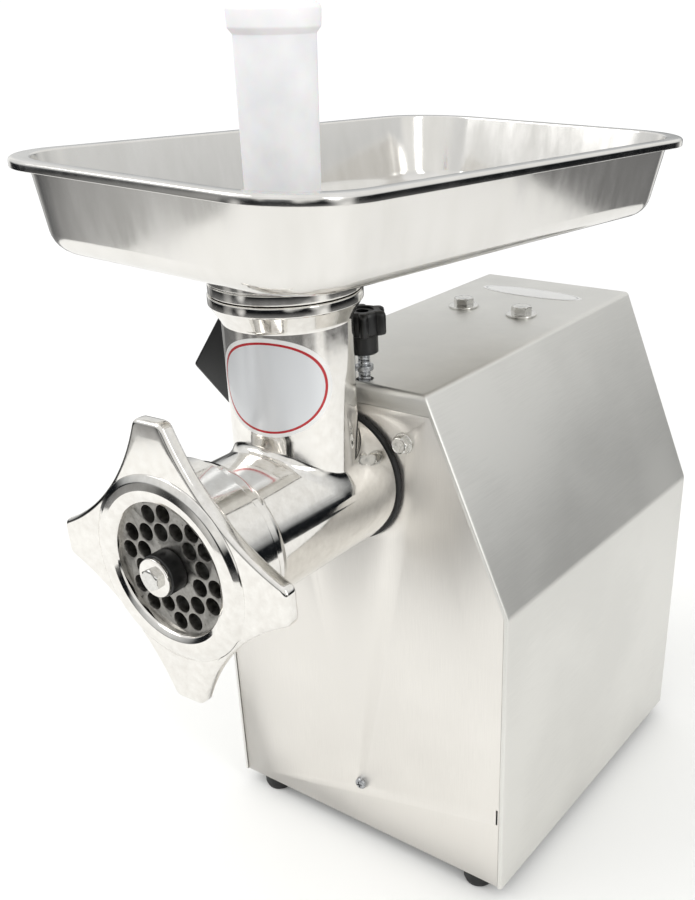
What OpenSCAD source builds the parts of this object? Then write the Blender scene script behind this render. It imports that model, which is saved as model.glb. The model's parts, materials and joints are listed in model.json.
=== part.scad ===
// Electric meat grinder: sheet-steel housing, cast head, tray and pusher.
// Inside the modules y = 0 is the front panel and z = 0 is the housing's bottom edge.
// placed() moves that frame so that the feet stand on z = 0 and the whole is centred.

/* [Housing] */
// Width of the housing below its bend
body_w = 190; // [180:1:200]
// Width of the flat top
top_w = 97; // [90:1:104]
// Depth from front panel to rear panel
body_d = 217; // [214:1:230]
// Height of the housing without its feet
body_h = 277; // [276:1:284]
// Height of the bend in the sides, at the front
bend_front = 173; // [165:1:180]
// Height of the bend in the sides, at the back
bend_back = 168; // [160:1:180]
// Thickness of the sheet
sheet = 1.2; // [1:0.1:1.5]
// Height of the top's lip over the front panel
lip_h = 10; // [6:1:14]
// Height of the rubber feet
foot_h = 9.5; // [8:0.5:12]
// Radius of the rubber feet
foot_r = 9; // [8:0.5:10]

/* [Grinder head] */
// Height of the head's axis above the housing's bottom edge
head_z = 228; // [226:0.5:229]
// Radius of the barrel
barrel_r = 33.5; // [33:0.5:35]
// Radius of the throat's tube
throat_r = 29; // [28.5:0.5:30]
// Distance of the throat's axis in front of the front panel
throat_y = 35; // [33:1:36]
// Height of the joint between the throat's flange and the tray's ring
joint_z = 328; // [322:1:330]
// Distance of the hole plate's face in front of the front panel
plate_y = 119.5; // [118:0.5:122]
// Pitch of the holes in the plate
hole_pitch = 9.5; // [9:0.1:9.6]
// Radius of the holes in the plate
hole_r = 4; // [2:0.25:4.2]
// Turn of the plate's hole pattern
plate_turn = 13.5; // [0:0.5:60]

/* [Ring nut] */
// Reach of each ear from the axis
ear_reach = 66; // [64:1:70]
// Half the width of each ear's tip
ear_half = 8; // [7:0.1:11]
// Turn of the nut on its thread
ear_turn = 1.6; // [-5:0.1:5]
// Radius of the valleys between the ears
valley_r = 44; // [43.5:0.5:47]

/* [Tray and pusher] */
// Width of the tray over its rim
tray_w = 182.5; // [175:0.5:200]
// Length of the tray over its rim
tray_l = 309; // [290:1:320]
// Height of the tray's rim at its middle
tray_z = 378.6; // [376:0.1:384]
// Distance of the tray's middle behind the front panel
tray_y = 38.5; // [30:0.5:45]
// Turn of the tray on the throat
tray_turn = -2.5; // [-3:0.1:0]
// Tip of the tray towards the back
tray_back = 2.5; // [0:0.1:3]
// Tip of the tray towards the right
tray_side = 1.4; // [0:0.1:1.9]
// Depth of the tray from its rim to its underside
pan_depth = 38.3; // [34:0.1:42]
// Width of the tray's rim over its walls
rim_w = 5.5; // [4:0.1:8]
// Height of the pusher's top
pusher_z = 439.5; // [430:0.5:450]
// Lean of the pusher in the throat
pusher_lean = 1; // [0:0.1:1]

/* [Gears] */
// Teeth of the output gear, module 2
output_teeth = 36; // [36:1:36]
// Teeth of the intermediate pinion, module 2
inter_pinion_teeth = 14; // [14:1:14]
// Teeth of the intermediate gear, module 1.5
inter_gear_teeth = 44; // [44:1:44]
// Teeth of the motor pinion, module 1.5
motor_pinion_teeth = 16; // [16:1:16]

/* [Hidden] */
$fn = 64;

// the frame's origin is under the middle of the whole, on the surface that it stands on
nose_end = plate_y + 13;
rear_end = body_d + 16;
front_y = (nose_end - rear_end) / 2;

// the housing
half_w = body_w / 2;
half_top = top_w / 2;
hem = 2.3;
seam = 0.3;
side_lean = (half_w - half_top) / (body_h - bend_front);
foot_x = 75;
foot_y = 10;
foot_points = [for (x = [-foot_x, foot_x], y = [foot_y, body_d - foot_y]) [x, y]];
rear_screw_points = [for (x = [-84, 84], z = [14, 150]) [x, z]];
top_bolt_y = 140;
top_bolt_x = 19;

// the head's socket and its bolts
lock_x = 10;
lock_y = 6;
lock_r = 3;
lock_flat = head_z + 26.5;
knob_z = body_h + 13;
flange_bolt_r = 43;
flange_bolt_angle = 33;
flange_bolt_points = [for (s = [-1, 1])
    [s * flange_bolt_r * cos(flange_bolt_angle), head_z + flange_bolt_r * sin(flange_bolt_angle)]];
tail_r = 30;
tail_end = 34;
pusher_low = head_z + 26.5;
pusher_h = pusher_z - pusher_low;
pusher_aim = 37;
gasket_t = 2.6;
label_turn = 20;
label_half = [24.9, 22];

// the gear train: heights of its three axes, and where each row of parts lies along y
inter_z = head_z - (output_teeth + inter_pinion_teeth);
motor_z = inter_z - (inter_gear_teeth + motor_pinion_teeth) * 0.75;
case_front = 38;
case_wall = 5;
front_seat = [43, 53];
output_row = [55, 69];
motor_row = [72, 84];
rear_seat = [88, 98];
cover_row = [98, 103];
motor_end = 200;
motor_r = 56;
shaft_r = 12.5;
bearing_r = 23.5;
small_shaft_r = 7.5;
small_bearing_r = 16;
case_bolt_points = [for (s = [-1, 1]) each [[s * 36, head_z + 32], [s * 42, inter_z], [s * 22, motor_z - 14]]];

// the head's parts along y, counted forwards from the front panel
nose_r = 38;
mouth_r = 30.2;
plate_r = 34.5;
plate_t = 8;
knife_t = 6.8;
pin_r = 6;
worm_r = 25.5;
worm_bore = 26;
worm_core = 11;

// the switch box, in the plane across the housing: its outer face leans back at switch_tilt
switch_tilt = 52.5;
switch_face = 46;
switch_low = [-106, 265.5];
switch_y = [5, 85];
switch_high = switch_low + switch_face * [cos(switch_tilt), sin(switch_tilt)];
switch_mid = (switch_low + switch_high) / 2;
switch_in = [sin(switch_tilt), -cos(switch_tilt)];
button_y = [29, 61];
button_r = 9;

// the tray, and the middle between its right rim and the switch box's corner
rim_r = 38;
pan_half = [tray_w / 2, tray_l / 2];
tray_reach = rim_r + (tray_w / 2 - rim_r) * cos(tray_turn) - (tray_l / 2 - rim_r) * sin(tray_turn);
middle_x = -(tray_reach + switch_low.x) / 2;

// where a line from p, running into the housing, meets the leaning side
function on_side(p, off) = p + switch_in
    * ((-half_top - (body_h - p.y) * side_lean - off - p.x) / (switch_in.x - side_lean * switch_in.y));

module placed() { translate([middle_x, front_y, foot_h]) children(); }

// a flat outline in x and z, drawn out along y from y0 to y1
module along_y(y0, y1) { translate([0, y1, 0]) rotate([90, 0, 0]) linear_extrude(y1 - y0) children(); }

module rod_y(r, y0, y1, p = [0, head_z]) { along_y(y0, y1) translate(p) circle(r); }

module tube_y(outer, inner, y0, y1, p = [0, head_z]) {
    along_y(y0, y1) translate(p) difference() { circle(outer); circle(inner); }
}

// a profile of radius and distance in front of the front panel, turned about the head's axis
module turned(profile) { translate([0, 0, head_z]) rotate([90, 0, 0]) rotate_extrude() polygon(profile); }

module hex_head(across, t) { cylinder(h = t, r = across / sqrt(3), $fn = 6); }

// outline across the housing at one bend height, drawn in by inset
module section(bend, inset) {
    w = half_w - inset;
    t = half_top - inset;
    h = body_h - inset;
    polygon([[-w, -inset], [w, -inset], [w, bend], [t, h], [-t, h], [-w, bend]]);
}

module housing_form(inset, y0, y1) {
    hull() {
        along_y(y0, y0 + 0.01) section(bend_front, inset);
        along_y(y1 - 0.01, y1) section(bend_back, inset);
    }
}

module housing_shell() {
    color("gainsboro") placed() {
        difference() {
            housing_form(0, 0, body_d);
            housing_form(sheet, sheet, body_d - sheet);
            // open bottom, and front and back open inside their hems and the top's lip
            translate([-half_w + sheet, sheet, -1]) cube([body_w - 2 * sheet, body_d - 2 * sheet, sheet + 2]);
            along_y(-1, sheet + 0.1) intersection() {
                section(bend_front, hem);
                translate([-half_w, -5]) square([body_w, body_h - lip_h + 5]);
            }
            along_y(body_d - sheet - 0.1, body_d + 1) section(bend_back, hem);
            translate([lock_x, lock_y, body_h - 5]) cylinder(h = 10, r = lock_r + 1.3);
            for (s = [-1, 1]) translate([s * top_bolt_x, top_bolt_y, body_h - 5]) cylinder(h = 10, r = 3.2);
        }
    }
}

module front_panel() {
    color("lightgray") placed() along_y(seam, seam + sheet) difference() {
        intersection() {
            section(bend_front, hem + seam);
            translate([-half_w, 0.5]) square([body_w, body_h - lip_h - seam - 0.5]);
        }
        translate([0, head_z]) circle(tail_r + 1);
        for (p = flange_bolt_points) translate(p) circle(2.7);
        translate([0, 31]) circle(2.2);
        translate([half_w - hem - 2, 44]) square([1, 10]);
    }
}

module rear_panel() {
    color("lightgray") placed() along_y(body_d - seam - sheet, body_d - seam) difference() {
        intersection() {
            section(bend_back, hem + seam);
            translate([-half_w, 0.5]) square([body_w, body_h]);
        }
        for (x = [-50:20:50], z = [100:12:172]) translate([x - 6, z]) square([12, 4]);
        for (p = rear_screw_points) translate(p) circle(2.2);
        translate([55, 40]) circle(8.2);
    }
}

module base_plate() {
    color("silver") placed() difference() {
        translate([-half_w + sheet, sheet + 0.8, 1]) cube([body_w - 2 * sheet, body_d - 2 * sheet - 1.6, 1.5]);
        for (p = foot_points) translate([p.x, p.y, 0]) cylinder(h = 4, r = 2.2);
        for (y = [70:14:150]) translate([-40, y, 0]) cube([80, 5, 4]);
    }
}

module rubber_feet() {
    color([0.08, 0.08, 0.08]) placed() for (p = foot_points) translate([p.x, p.y, -foot_h])
        difference() {
            rotate_extrude() polygon([[0, 0], [foot_r - 1.5, 0], [foot_r - 0.5, 1], [foot_r, foot_h + 1],
                [0, foot_h + 1]]);
            translate([0, 0, -1]) cylinder(h = 5, r = 4);
            cylinder(h = foot_h + 2, r = 2.1);
        }
}

module foot_screws() {
    color("silver") placed() for (p = foot_points) translate([p.x, p.y, 0]) {
        translate([0, 0, 4 - foot_h]) cylinder(h = foot_h + 2, r = 2);
        translate([0, 0, 1.6 - foot_h]) cylinder(h = 2.4, r = 3.6);
        translate([0, 0, 2.5]) hex_head(7, 3);
    }
}

// pan-head screw whose shank runs along +y from the head at y = 0
module pan_screw() {
    difference() {
        rotate([90, 0, 0]) rotate_extrude() polygon([[0, -8], [2, -8], [2, 0], [3.6, 0], [3.2, 1.6], [1.8, 2.4], [0, 2.4]]);
        for (a = [0, 90]) rotate([0, a, 0]) translate([-1.8, -3, -0.4]) cube([3.6, 1.6, 0.8]);
    }
}

module front_panel_screw() { color("silver") placed() translate([0, seam, 31]) pan_screw(); }

module rear_panel_screws() {
    color("silver") placed() for (p = rear_screw_points)
        translate([p.x, body_d - seam, p.y]) rotate([0, 0, 180]) pan_screw();
}

module top_bolts() {
    color("silver") placed() for (s = [-1, 1]) translate([s * top_bolt_x, top_bolt_y, body_h + 1.2]) {
        hex_head(10, 4.2);
        translate([0, 0, -11]) cylinder(h = 11.5, r = 3);
    }
}

module top_bolt_washers() {
    color("silver") placed() for (s = [-1, 1]) translate([s * top_bolt_x, top_bolt_y, body_h])
        difference() {
            cylinder(h = 1.2, r = 8.6);
            translate([0, 0, -1]) cylinder(h = 4, r = 3.2);
        }
}

module top_badge() {
    color("white") placed() translate([0, body_d - 31.5, body_h]) linear_extrude(0.4) scale([33, 8.5]) circle(1);
}

module cable_gland() {
    color([0.1, 0.1, 0.1]) placed() translate([55, body_d - seam, 40]) rotate([-90, 0, 0]) difference() {
        union() {
            translate([0, 0, -9]) cylinder(h = 10, r = 8);
            hex_head(20, 5);
            translate([0, 0, -5]) hex_head(20, 3.5);
            cylinder(h = 12, r = 9);
            translate([0, 0, 11]) cylinder(h = 5.3, r1 = 9, r2 = 6.5);
        }
        translate([0, 0, -10]) cylinder(h = 30, r = 4);
    }
}

// outline of the switch box across the housing, drawn in by wall on every side
module switch_section(wall) {
    step = wall * [cos(switch_tilt), sin(switch_tilt)];
    low = switch_low + step + wall * switch_in;
    high = switch_high - step + wall * switch_in;
    polygon([low, high, on_side(high, 0.4 + wall), on_side(low, 0.4 + wall)]);
}

// a spot on the switch box's outer face, with +z out of it
module on_switch_face(y) {
    translate([switch_mid.x, y, switch_mid.y]) rotate([0, -switch_tilt, 0]) children();
}

module switch_housing() {
    color([0.07, 0.07, 0.07]) placed() difference() {
        along_y(switch_y[0], switch_y[1]) switch_section(0);
        along_y(switch_y[0] + 2.5, switch_y[1] - 2.5) switch_section(2.5);
        for (y = button_y) on_switch_face(y) translate([0, 0, -6]) cylinder(h = 12, r = button_r + 0.08);
    }
}

module switch_block() {
    color("dimgray") placed() for (y = button_y) on_switch_face(y)
        translate([-9, -9, -26]) cube([18, 18, 12]);
}

module push_button() {
    translate([0, 0, -9]) rotate_extrude()
        polygon([[0, 0], [11, 0], [11, 2], [button_r, 2], [button_r, 13], [button_r - 1.5, 14], [0, 14]]);
}

module start_button() { color("green") placed() on_switch_face(button_y[0]) push_button(); }

module stop_button() { color("red") placed() on_switch_face(button_y[1]) push_button(); }

// outline of the gearbox, drawn in by inset: three discs and the webs that join them
module case_outline(inset) {
    translate([0, head_z]) circle(44 - inset);
    translate([0, inter_z]) circle(41 - inset);
    translate([0, motor_z]) circle(25 - inset);
    translate([-36 + inset, inter_z]) square([72 - 2 * inset, head_z - inter_z]);
    translate([-20 + inset, motor_z]) square([40 - 2 * inset, inter_z - motor_z]);
}

module gearbox_housing() {
    color("darkgray") placed() difference() {
        union() {
            along_y(case_front, case_front + case_wall) case_outline(0);
            along_y(case_front + case_wall - 1, cover_row[0]) difference() {
                case_outline(0);
                case_outline(case_wall);
            }
            tube_y(bearing_r + 4, bearing_r, front_seat[0] - 1, front_seat[1]);
            tube_y(small_bearing_r + 3, small_bearing_r, front_seat[0] - 1, front_seat[1], [0, inter_z]);
            rod_y(36, 1.8, case_front + 1);
            along_y(1.8, 7) {
                translate([0, head_z]) circle(40);
                for (p = flange_bolt_points) translate(p) circle(8);
            }
            translate([lock_x - 7, 1.8, head_z + 25]) cube([14, 11.2, body_h - sheet - 1 - head_z - 25]);
            along_y(front_seat[0], cover_row[0]) for (p = case_bolt_points) translate(p) circle(4.5);
        }
        rod_y(tail_r + 0.06, 0, case_front - 2);
        rod_y(shaft_r + 5.5, case_front - 3, front_seat[0] + 0.01);
        rod_y(bearing_r, front_seat[0], front_seat[1] + 1);
        rod_y(small_bearing_r, front_seat[0], front_seat[1] + 1, [0, inter_z]);
        translate([lock_x, lock_y, head_z]) cylinder(h = 60, r = lock_r + 0.06);
        for (p = flange_bolt_points) rod_y(2.5, 0, 20, p);
        for (p = case_bolt_points) rod_y(2.5, 80, 110, p);
    }
}

module gearbox_cover() {
    color("darkgray") placed() difference() {
        union() {
            along_y(cover_row[0], cover_row[1]) {
                case_outline(0);
                translate([0, motor_z]) circle(30);
                for (p = case_bolt_points) translate(p) circle(5.5);
            }
            rod_y(bearing_r + 3, rear_seat[0], cover_row[0] + 1);
            rod_y(small_bearing_r + 3, rear_seat[0], cover_row[0] + 1, [0, inter_z]);
            rod_y(small_bearing_r + 3, rear_seat[0], cover_row[0] + 1, [0, motor_z]);
        }
        rod_y(bearing_r, rear_seat[0] - 1, rear_seat[1]);
        rod_y(small_bearing_r, rear_seat[0] - 1, rear_seat[1], [0, inter_z]);
        rod_y(small_bearing_r, rear_seat[0] - 1, rear_seat[1], [0, motor_z]);
        rod_y(small_shaft_r + 1, 80, 120, [0, motor_z]);
        for (p = case_bolt_points) rod_y(2.7, 80, 120, p);
    }
}

module gearbox_bolts() {
    color("silver") placed() for (p = case_bolt_points) {
        rod_y(2.5, cover_row[0] - 12, cover_row[1] + 1, p);
        translate([p.x, cover_row[1], p.y]) rotate([-90, 0, 0]) hex_head(8, 3.5);
    }
}

// bent strap from the gearbox's cover to the two bolts in the top
module hanger_bracket() {
    color("silver") placed() difference() {
        union() {
            translate([-32, cover_row[1] + 5, body_h - sheet - 3]) cube([64, 52, 3]);
            translate([-32, cover_row[1] + 5, head_z + 22]) cube([64, 3, body_h - sheet - head_z - 22]);
            for (s = [-1, 1]) translate([s * 18 - 6, cover_row[1], head_z + 24]) cube([12, 6, 12]);
        }
        for (s = [-1, 1]) translate([s * top_bolt_x, top_bolt_y, body_h - 10]) cylinder(h = 20, r = 3);
    }
}

module flange_bolts() {
    color("silver") placed() for (p = flange_bolt_points) {
        rod_y(2.5, -1, 16, p);
        translate([p.x, seam - 1, p.y]) rotate([90, 0, 0]) hex_head(8, 3.5);
    }
}

module flange_washers() {
    color("silver") placed() for (p = flange_bolt_points) tube_y(5.2, 2.6, seam - 1, seam, p);
}

module socket_gasket() { color([0.05, 0.05, 0.05]) placed() tube_y(34.6, tail_r + 0.5, seam - gasket_t, seam); }

module oil_seal() { color([0.1, 0.1, 0.1]) placed() tube_y(shaft_r + 5.5, shaft_r + 0.05, case_front - 2, 43); }

module output_shaft() {
    color("silver") placed() difference() {
        rod_y(shaft_r, 14, rear_seat[1]);
        along_y(13, 33) translate([0, head_z]) square(13.3, center = true);
    }
}

// involute gear outline: points of each tooth's two flanks, from the root to the tip
function involute_angle(r, base) = let (t = sqrt(max(0, pow(r / base, 2) - 1))) t * 180 / PI - atan(t);
function flank(pitch_r, base, r, half) = half + involute_angle(pitch_r, base) - involute_angle(max(r, base), base);
module gear_outline(teeth, m, phase, backlash = 0.36) {
    pitch_r = teeth * m / 2;
    base = pitch_r * cos(20);
    radii = [for (k = [0:5]) pitch_r - 1.3 * m + k * (1.3 + 0.82) * m / 5];
    half = 90 / teeth - backlash / 4 / pitch_r * 180 / PI;
    polygon([for (i = [0:teeth - 1]) let (a = phase + i * 360 / teeth) each concat(
        [for (r = radii) let (f = flank(pitch_r, base, r, half)) r * [cos(a - f), sin(a - f)]],
        [for (k = [5:-1:0]) let (r = radii[k], f = flank(pitch_r, base, r, half)) r * [cos(a + f), sin(a + f)]])]);
}

module gear_y(teeth, m, phase, row, z, bore) {
    along_y(row[0], row[1]) translate([0, z]) difference() {
        gear_outline(teeth, m, phase);
        circle(bore);
    }
}

module output_gear() { color("darkgray") placed() gear_y(output_teeth, 2, 0, output_row, head_z, shaft_r); }

module intermediate_pinion() {
    color("darkgray") placed()
        gear_y(inter_pinion_teeth, 2, 90 + 180 / inter_pinion_teeth, output_row + [-1, 1], inter_z, small_shaft_r);
}

module intermediate_gear() {
    color("darkgray") placed() gear_y(inter_gear_teeth, 1.5, 0, motor_row, inter_z, small_shaft_r);
}

module motor_pinion() {
    color("darkgray") placed()
        gear_y(motor_pinion_teeth, 1.5, 90 + 180 / motor_pinion_teeth, motor_row + [-1, 1], motor_z, small_shaft_r - 1);
}

module intermediate_shaft() {
    color("silver") placed() rod_y(small_shaft_r, front_seat[0], rear_seat[1], [0, inter_z]);
}

// outer race, inner race and the shield between them
module bearing(outer, inner, row, p) {
    race = (outer - inner) * 0.28;
    tube_y(outer, outer - race, row[0], row[1], p);
    tube_y(inner + race, inner, row[0], row[1], p);
    tube_y(outer - race, inner + race, row[0] + 2.5, row[1] - 2.5, p);
}

module front_bearings() {
    color("silver") placed() {
        bearing(bearing_r, shaft_r + 0.05, front_seat, [0, head_z]);
        bearing(small_bearing_r, small_shaft_r + 0.05, front_seat, [0, inter_z]);
    }
}

module rear_bearings() {
    color("silver") placed() {
        bearing(bearing_r, shaft_r + 0.05, rear_seat, [0, head_z]);
        bearing(small_bearing_r, small_shaft_r + 0.05, rear_seat, [0, inter_z]);
        bearing(small_bearing_r, small_shaft_r + 0.05, rear_seat, [0, motor_z]);
    }
}

module motor_case() {
    color([0.2, 0.22, 0.25]) placed() difference() {
        rod_y(motor_r, cover_row[1] + 0.01, motor_end, [0, motor_z]);
        rod_y(motor_r - 3, cover_row[1] + 4, motor_end - 3, [0, motor_z]);
        rod_y(small_shaft_r + 1, cover_row[1] - 1, cover_row[1] + 5, [0, motor_z]);
        rod_y(small_shaft_r + 0.06, motor_end - 4, motor_end + 1, [0, motor_z]);
        for (p = case_bolt_points) rod_y(5.5, cover_row[1], cover_row[1] + 5, p);
        for (a = [0:45:315]) along_y(motor_end - 4, motor_end + 1) translate([0, motor_z]) rotate(a)
            translate([24, -4]) square([20, 8]);
    }
}

module motor_stator() {
    color("peru") placed() tube_y(motor_r - 3, 31, 122, 176, [0, motor_z]);
}

module motor_rotor() {
    color("gray") placed() {
        rod_y(30, 122, 176, [0, motor_z]);
        rod_y(small_shaft_r, motor_row[1] + 3, motor_end + 4, [0, motor_z]);
        rod_y(small_shaft_r - 1, motor_row[0] - 3, motor_row[1] + 4, [0, motor_z]);
    }
}

module motor_fan() {
    color("white") placed() along_y(182, 192) translate([0, motor_z]) difference() {
        union() {
            circle(12);
            for (a = [0:45:315]) rotate(a) translate([0, -1.2]) square([44, 2.4]);
        }
        circle(small_shaft_r);
    }
}

module motor_cradle() {
    color("silver") placed() difference() {
        along_y(115, 180) difference() {
            union() {
                translate([-62, 2.5]) square([124, 3]);
                for (s = [-1, 1]) translate([s * 42 - 2, 2.5]) square([4, motor_z - 34]);
                intersection() {
                    translate([0, motor_z]) circle(motor_r + 3);
                    translate([-44, 2.5]) square([88, motor_z - 34]);
                }
            }
            translate([0, motor_z]) circle(motor_r);
        }
        for (s = [-1, 1], y = [125, 170]) translate([s * 54, y, 0]) cylinder(h = 9, r = 2.6);
    }
}

module cradle_bolts() {
    color("silver") placed() for (s = [-1, 1], y = [125, 170]) translate([s * 54, y, 5.5]) {
        hex_head(8, 3.5);
        translate([0, 0, -3]) cylinder(h = 4, r = 2.5);
    }
}

module run_capacitor() {
    color("gainsboro") placed() {
        rod_y(17, 30, 95, [-55, 24]);
        for (x = [-60, -50]) rod_y(1.6, 95, 103, [x, 24]);
    }
}

// outline of the throat: tube, short cone and flange, as radius and height
throat_profile = [[0, head_z], [throat_r, head_z], [throat_r, joint_z - 12], [throat_r + 4.5, joint_z - 4.6],
    [throat_r + 5, joint_z - 4], [throat_r + 5, joint_z], [0, joint_z]];

module grinder_head() {
    color("silver") placed() difference() {
        union() {
            turned([[0, -tail_end], [tail_r, -tail_end], [tail_r, gasket_t - seam], [barrel_r, gasket_t - seam],
                [barrel_r, 84], [nose_r - 1, 90], [nose_r, 92], [nose_r, plate_y - 3.5], [0, plate_y - 3.5]]);
            translate([0, -throat_y, 0]) rotate_extrude() polygon(throat_profile);
        }
        rod_y(worm_bore, -plate_y - 1, 8);
        rod_y(plate_r + 0.2, -plate_y, plate_t + knife_t + 1.2 - plate_y);
        rod_y(shaft_r - 0.04, 0, 20);
        rod_y(shaft_r + 1, 13, tail_end + 1);
        translate([0, -throat_y, head_z]) cylinder(h = joint_z, r = 25.5);
        translate([0, -throat_y, joint_z - 20]) cylinder(h = 30, r = 27.3);
        // flat for the lock screw's pad, and the keyway of the hole plate
        translate([lock_x - 7, 2.6, lock_flat]) cube([20, 40, 10]);
        translate([-2.1, -plate_y, head_z - plate_r - 2.2]) cube([4.2, 8, 5]);
    }
}

module throat_label() {
    color("white") placed() translate([0, -throat_y, 0]) intersection() {
        difference() {
            translate([0, 0, joint_z - 70]) cylinder(h = 60, r = throat_r + 0.35);
            translate([0, 0, joint_z - 71]) cylinder(h = 62, r = throat_r + 0.1);
        }
        translate([0, 0, joint_z - 36]) rotate([90, 0, label_turn]) linear_extrude(40)
            polygon([for (a = [0:7.5:352.5]) [label_half.x * cos(a), label_half.y * sin(a)]]);
    }
}

// core and flight of the worm in one outline, which is twisted along the barrel
module worm() {
    turns = 3.4;
    flight = 60;
    color("silver") placed() {
        rod_y(12.4, 4, 13);
        along_y(12, 32) translate([0, head_z]) square(13, center = true);
        along_y(0.3 + plate_t - plate_y, -102) translate([0, head_z]) square(12, center = true);
        rod_y(pin_r, -plate_y - 8, -103);
        translate([0, 4.5, head_z]) rotate([90, 0, 0]) linear_extrude(107, twist = 360 * turns, slices = 68)
            polygon(concat([for (a = [0:10:flight]) worm_r * [cos(a), sin(a)]],
                [for (a = [flight + 20:20:350]) worm_core * [cos(a), sin(a)]]));
    }
}

module knife() {
    color("silver") placed() along_y(plate_t - plate_y, plate_t + knife_t - plate_y)
        translate([0, head_z]) difference() {
            union() {
                circle(13);
                for (a = [20:90:290]) rotate(a) polygon([[0, -6], [33, -3], [33, 4], [10, 8]]);
            }
            square(12.1, center = true);
        }
}

// the plate's holes: a hexagonal grid out to the third ring but one, without its first ring
function grid_radius(i, j) = hole_pitch * sqrt(i * i + j * j + i * j);
hole_points = [for (i = [-3:3], j = [-3:3]) let (r = grid_radius(i, j))
    if (r > 1.2 * hole_pitch && r < 2.8 * hole_pitch) hole_pitch * [i + j / 2, j * sqrt(3) / 2]];

module hole_plate() {
    color("silver") placed() along_y(-plate_y, plate_t - plate_y) translate([0, head_z]) difference() {
        circle(plate_r);
        circle(pin_r + 0.06);
        rotate(plate_turn) for (p = hole_points) translate(p) circle(hole_r);
        translate([-2.1, -plate_r - 1]) square([4.2, 3.2]);
    }
}

module plate_key() {
    color("silver") placed() along_y(0.2 - plate_y, 7.8 - plate_y) translate([-2, head_z - plate_r - 2]) square([4, 3.8]);
}

// star of four ears: a square across the tips, hollowed by a large arc between each pair
module star_outline() {
    across = (ear_reach + ear_half) / sqrt(2);
    aside = (ear_reach - ear_half) / sqrt(2);
    centre = (across * across + aside * aside - valley_r * valley_r) / 2 / (across - valley_r);
    difference() {
        intersection() {
            square(2 * ear_reach, center = true);
            rotate(45) square(2 * across, center = true);
        }
        for (a = [45:90:315]) rotate(a) translate([centre, 0]) circle(centre - valley_r, $fn = 96);
    }
}

module ring_nut() {
    color("silver") placed() {
        difference() {
            union() {
                along_y(-plate_y - 2.5, 4 - plate_y) translate([0, head_z]) rotate(ear_turn) star_outline();
                turned([[35, 97], [42, 97], [42.5, 98], [42.5, plate_y + 3], [40, plate_y + 4.3], [36, plate_y + 5],
                    [33, plate_y + 4.8], [mouth_r, plate_y + 3], [mouth_r, 97]]);
            }
            rod_y(nose_r + 0.1, -plate_y, -90);
            rod_y(mouth_r, -plate_y - 10, -90);
        }
    }
}

module worm_bush() { color([0.1, 0.1, 0.1]) placed() tube_y(9.5, pin_r, -plate_y - 8.6, -plate_y - 0.25); }

module worm_washer() { color("silver") placed() tube_y(8.8, 3, -plate_y - 10.2, -plate_y - 8.6); }

module worm_bolt() {
    color("silver") placed() {
        translate([0, -plate_y - 10.2, head_z]) rotate([90, 0, 0]) hex_head(9, nose_end - plate_y - 10.2);
        rod_y(3, -plate_y - 10.3, -plate_y - 8);
    }
}

// swivel pad, carried in a pocket on the end of the lock screw
module lock_pad() {
    color("goldenrod") placed() translate([lock_x, lock_y, lock_flat + 0.3]) difference() {
        cylinder(h = 4.5, r = lock_r - 0.1);
        translate([0, 0, 2]) cylinder(h = 3, r = 1.6);
    }
}

module lock_screw() {
    color("silver") placed() translate([lock_x, lock_y, lock_flat]) {
        translate([0, 0, 2.6]) cylinder(h = 3, r = 1.54);
        translate([0, 0, 5.1]) cylinder(h = knob_z + 17 - lock_flat - 5.1, r = lock_r);
    }
}

module lock_nut() {
    color("silver") placed() translate([lock_x, lock_y, body_h + 4.5]) difference() {
        cylinder(h = 2.5, r = 4.4);
        translate([0, 0, -1]) cylinder(h = 5, r = lock_r);
    }
}

module lock_knob() {
    color([0.06, 0.06, 0.06]) placed() translate([lock_x, lock_y, knob_z]) difference() {
        union() {
            cylinder(h = 19, r = 7);
            translate([0, 0, 9.5]) linear_extrude(11) union() {
                circle(9);
                for (a = [10:60:310]) rotate(a) translate([8.4, 0]) circle(3.6, $fn = 32);
            }
        }
        translate([0, 0, 19.7]) cylinder(h = 5, r = 5.5);
        translate([0, 0, -1]) cylinder(h = 18, r = lock_r);
    }
}

// rounded rectangle, as a thin slab whose top is at height z
module slab(half_x, half_y, r, z, t) {
    for (x = [-1, 1], y = [-1, 1])
        translate([x * (half_x - r), y * (half_y - r), z - t]) cylinder(h = t, r = r, $fn = 48);
}

// the wall leans in from the rim and turns into the floor; inset is 0 for its outside
module pan_form(inset) {
    hull() {
        slab(pan_half.x - rim_w - inset, pan_half.y - rim_w - inset, 37.4 - inset, inset > 0 ? 2 : 0, 1);
        slab(pan_half.x - 11 - inset, pan_half.y - 11 - inset, 31.7 - inset, inset + 10.1 - pan_depth, 1);
        slab(pan_half.x - 15 - inset, pan_half.y - 15 - inset, 27.7 - inset, inset + 3.6 - pan_depth, 1);
        slab(pan_half.x - 22 - inset, pan_half.y - 22 - inset, 20.3 - inset, inset + 1 - pan_depth, 1);
    }
}

module tray_frame() {
    translate([0, tray_y, tray_z]) rotate([-tray_back, tray_side, tray_turn]) children();
}

module tray_pan() {
    color("gainsboro") placed() difference() {
        tray_frame() difference() {
            union() {
                pan_form(0);
                hull() slab(pan_half.x, pan_half.y, rim_r, 0, 4);
            }
            pan_form(sheet);
            difference() {
                hull() slab(pan_half.x - sheet, pan_half.y - sheet, rim_r - sheet, -sheet, 4);
                hull() slab(pan_half.x - rim_w + 0.1, pan_half.y - rim_w + 0.1, rim_r - rim_w, 3, 12);
            }
        }
        translate([0, -throat_y, joint_z - 30]) cylinder(h = 50, r = 26.2);
    }
}

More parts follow.
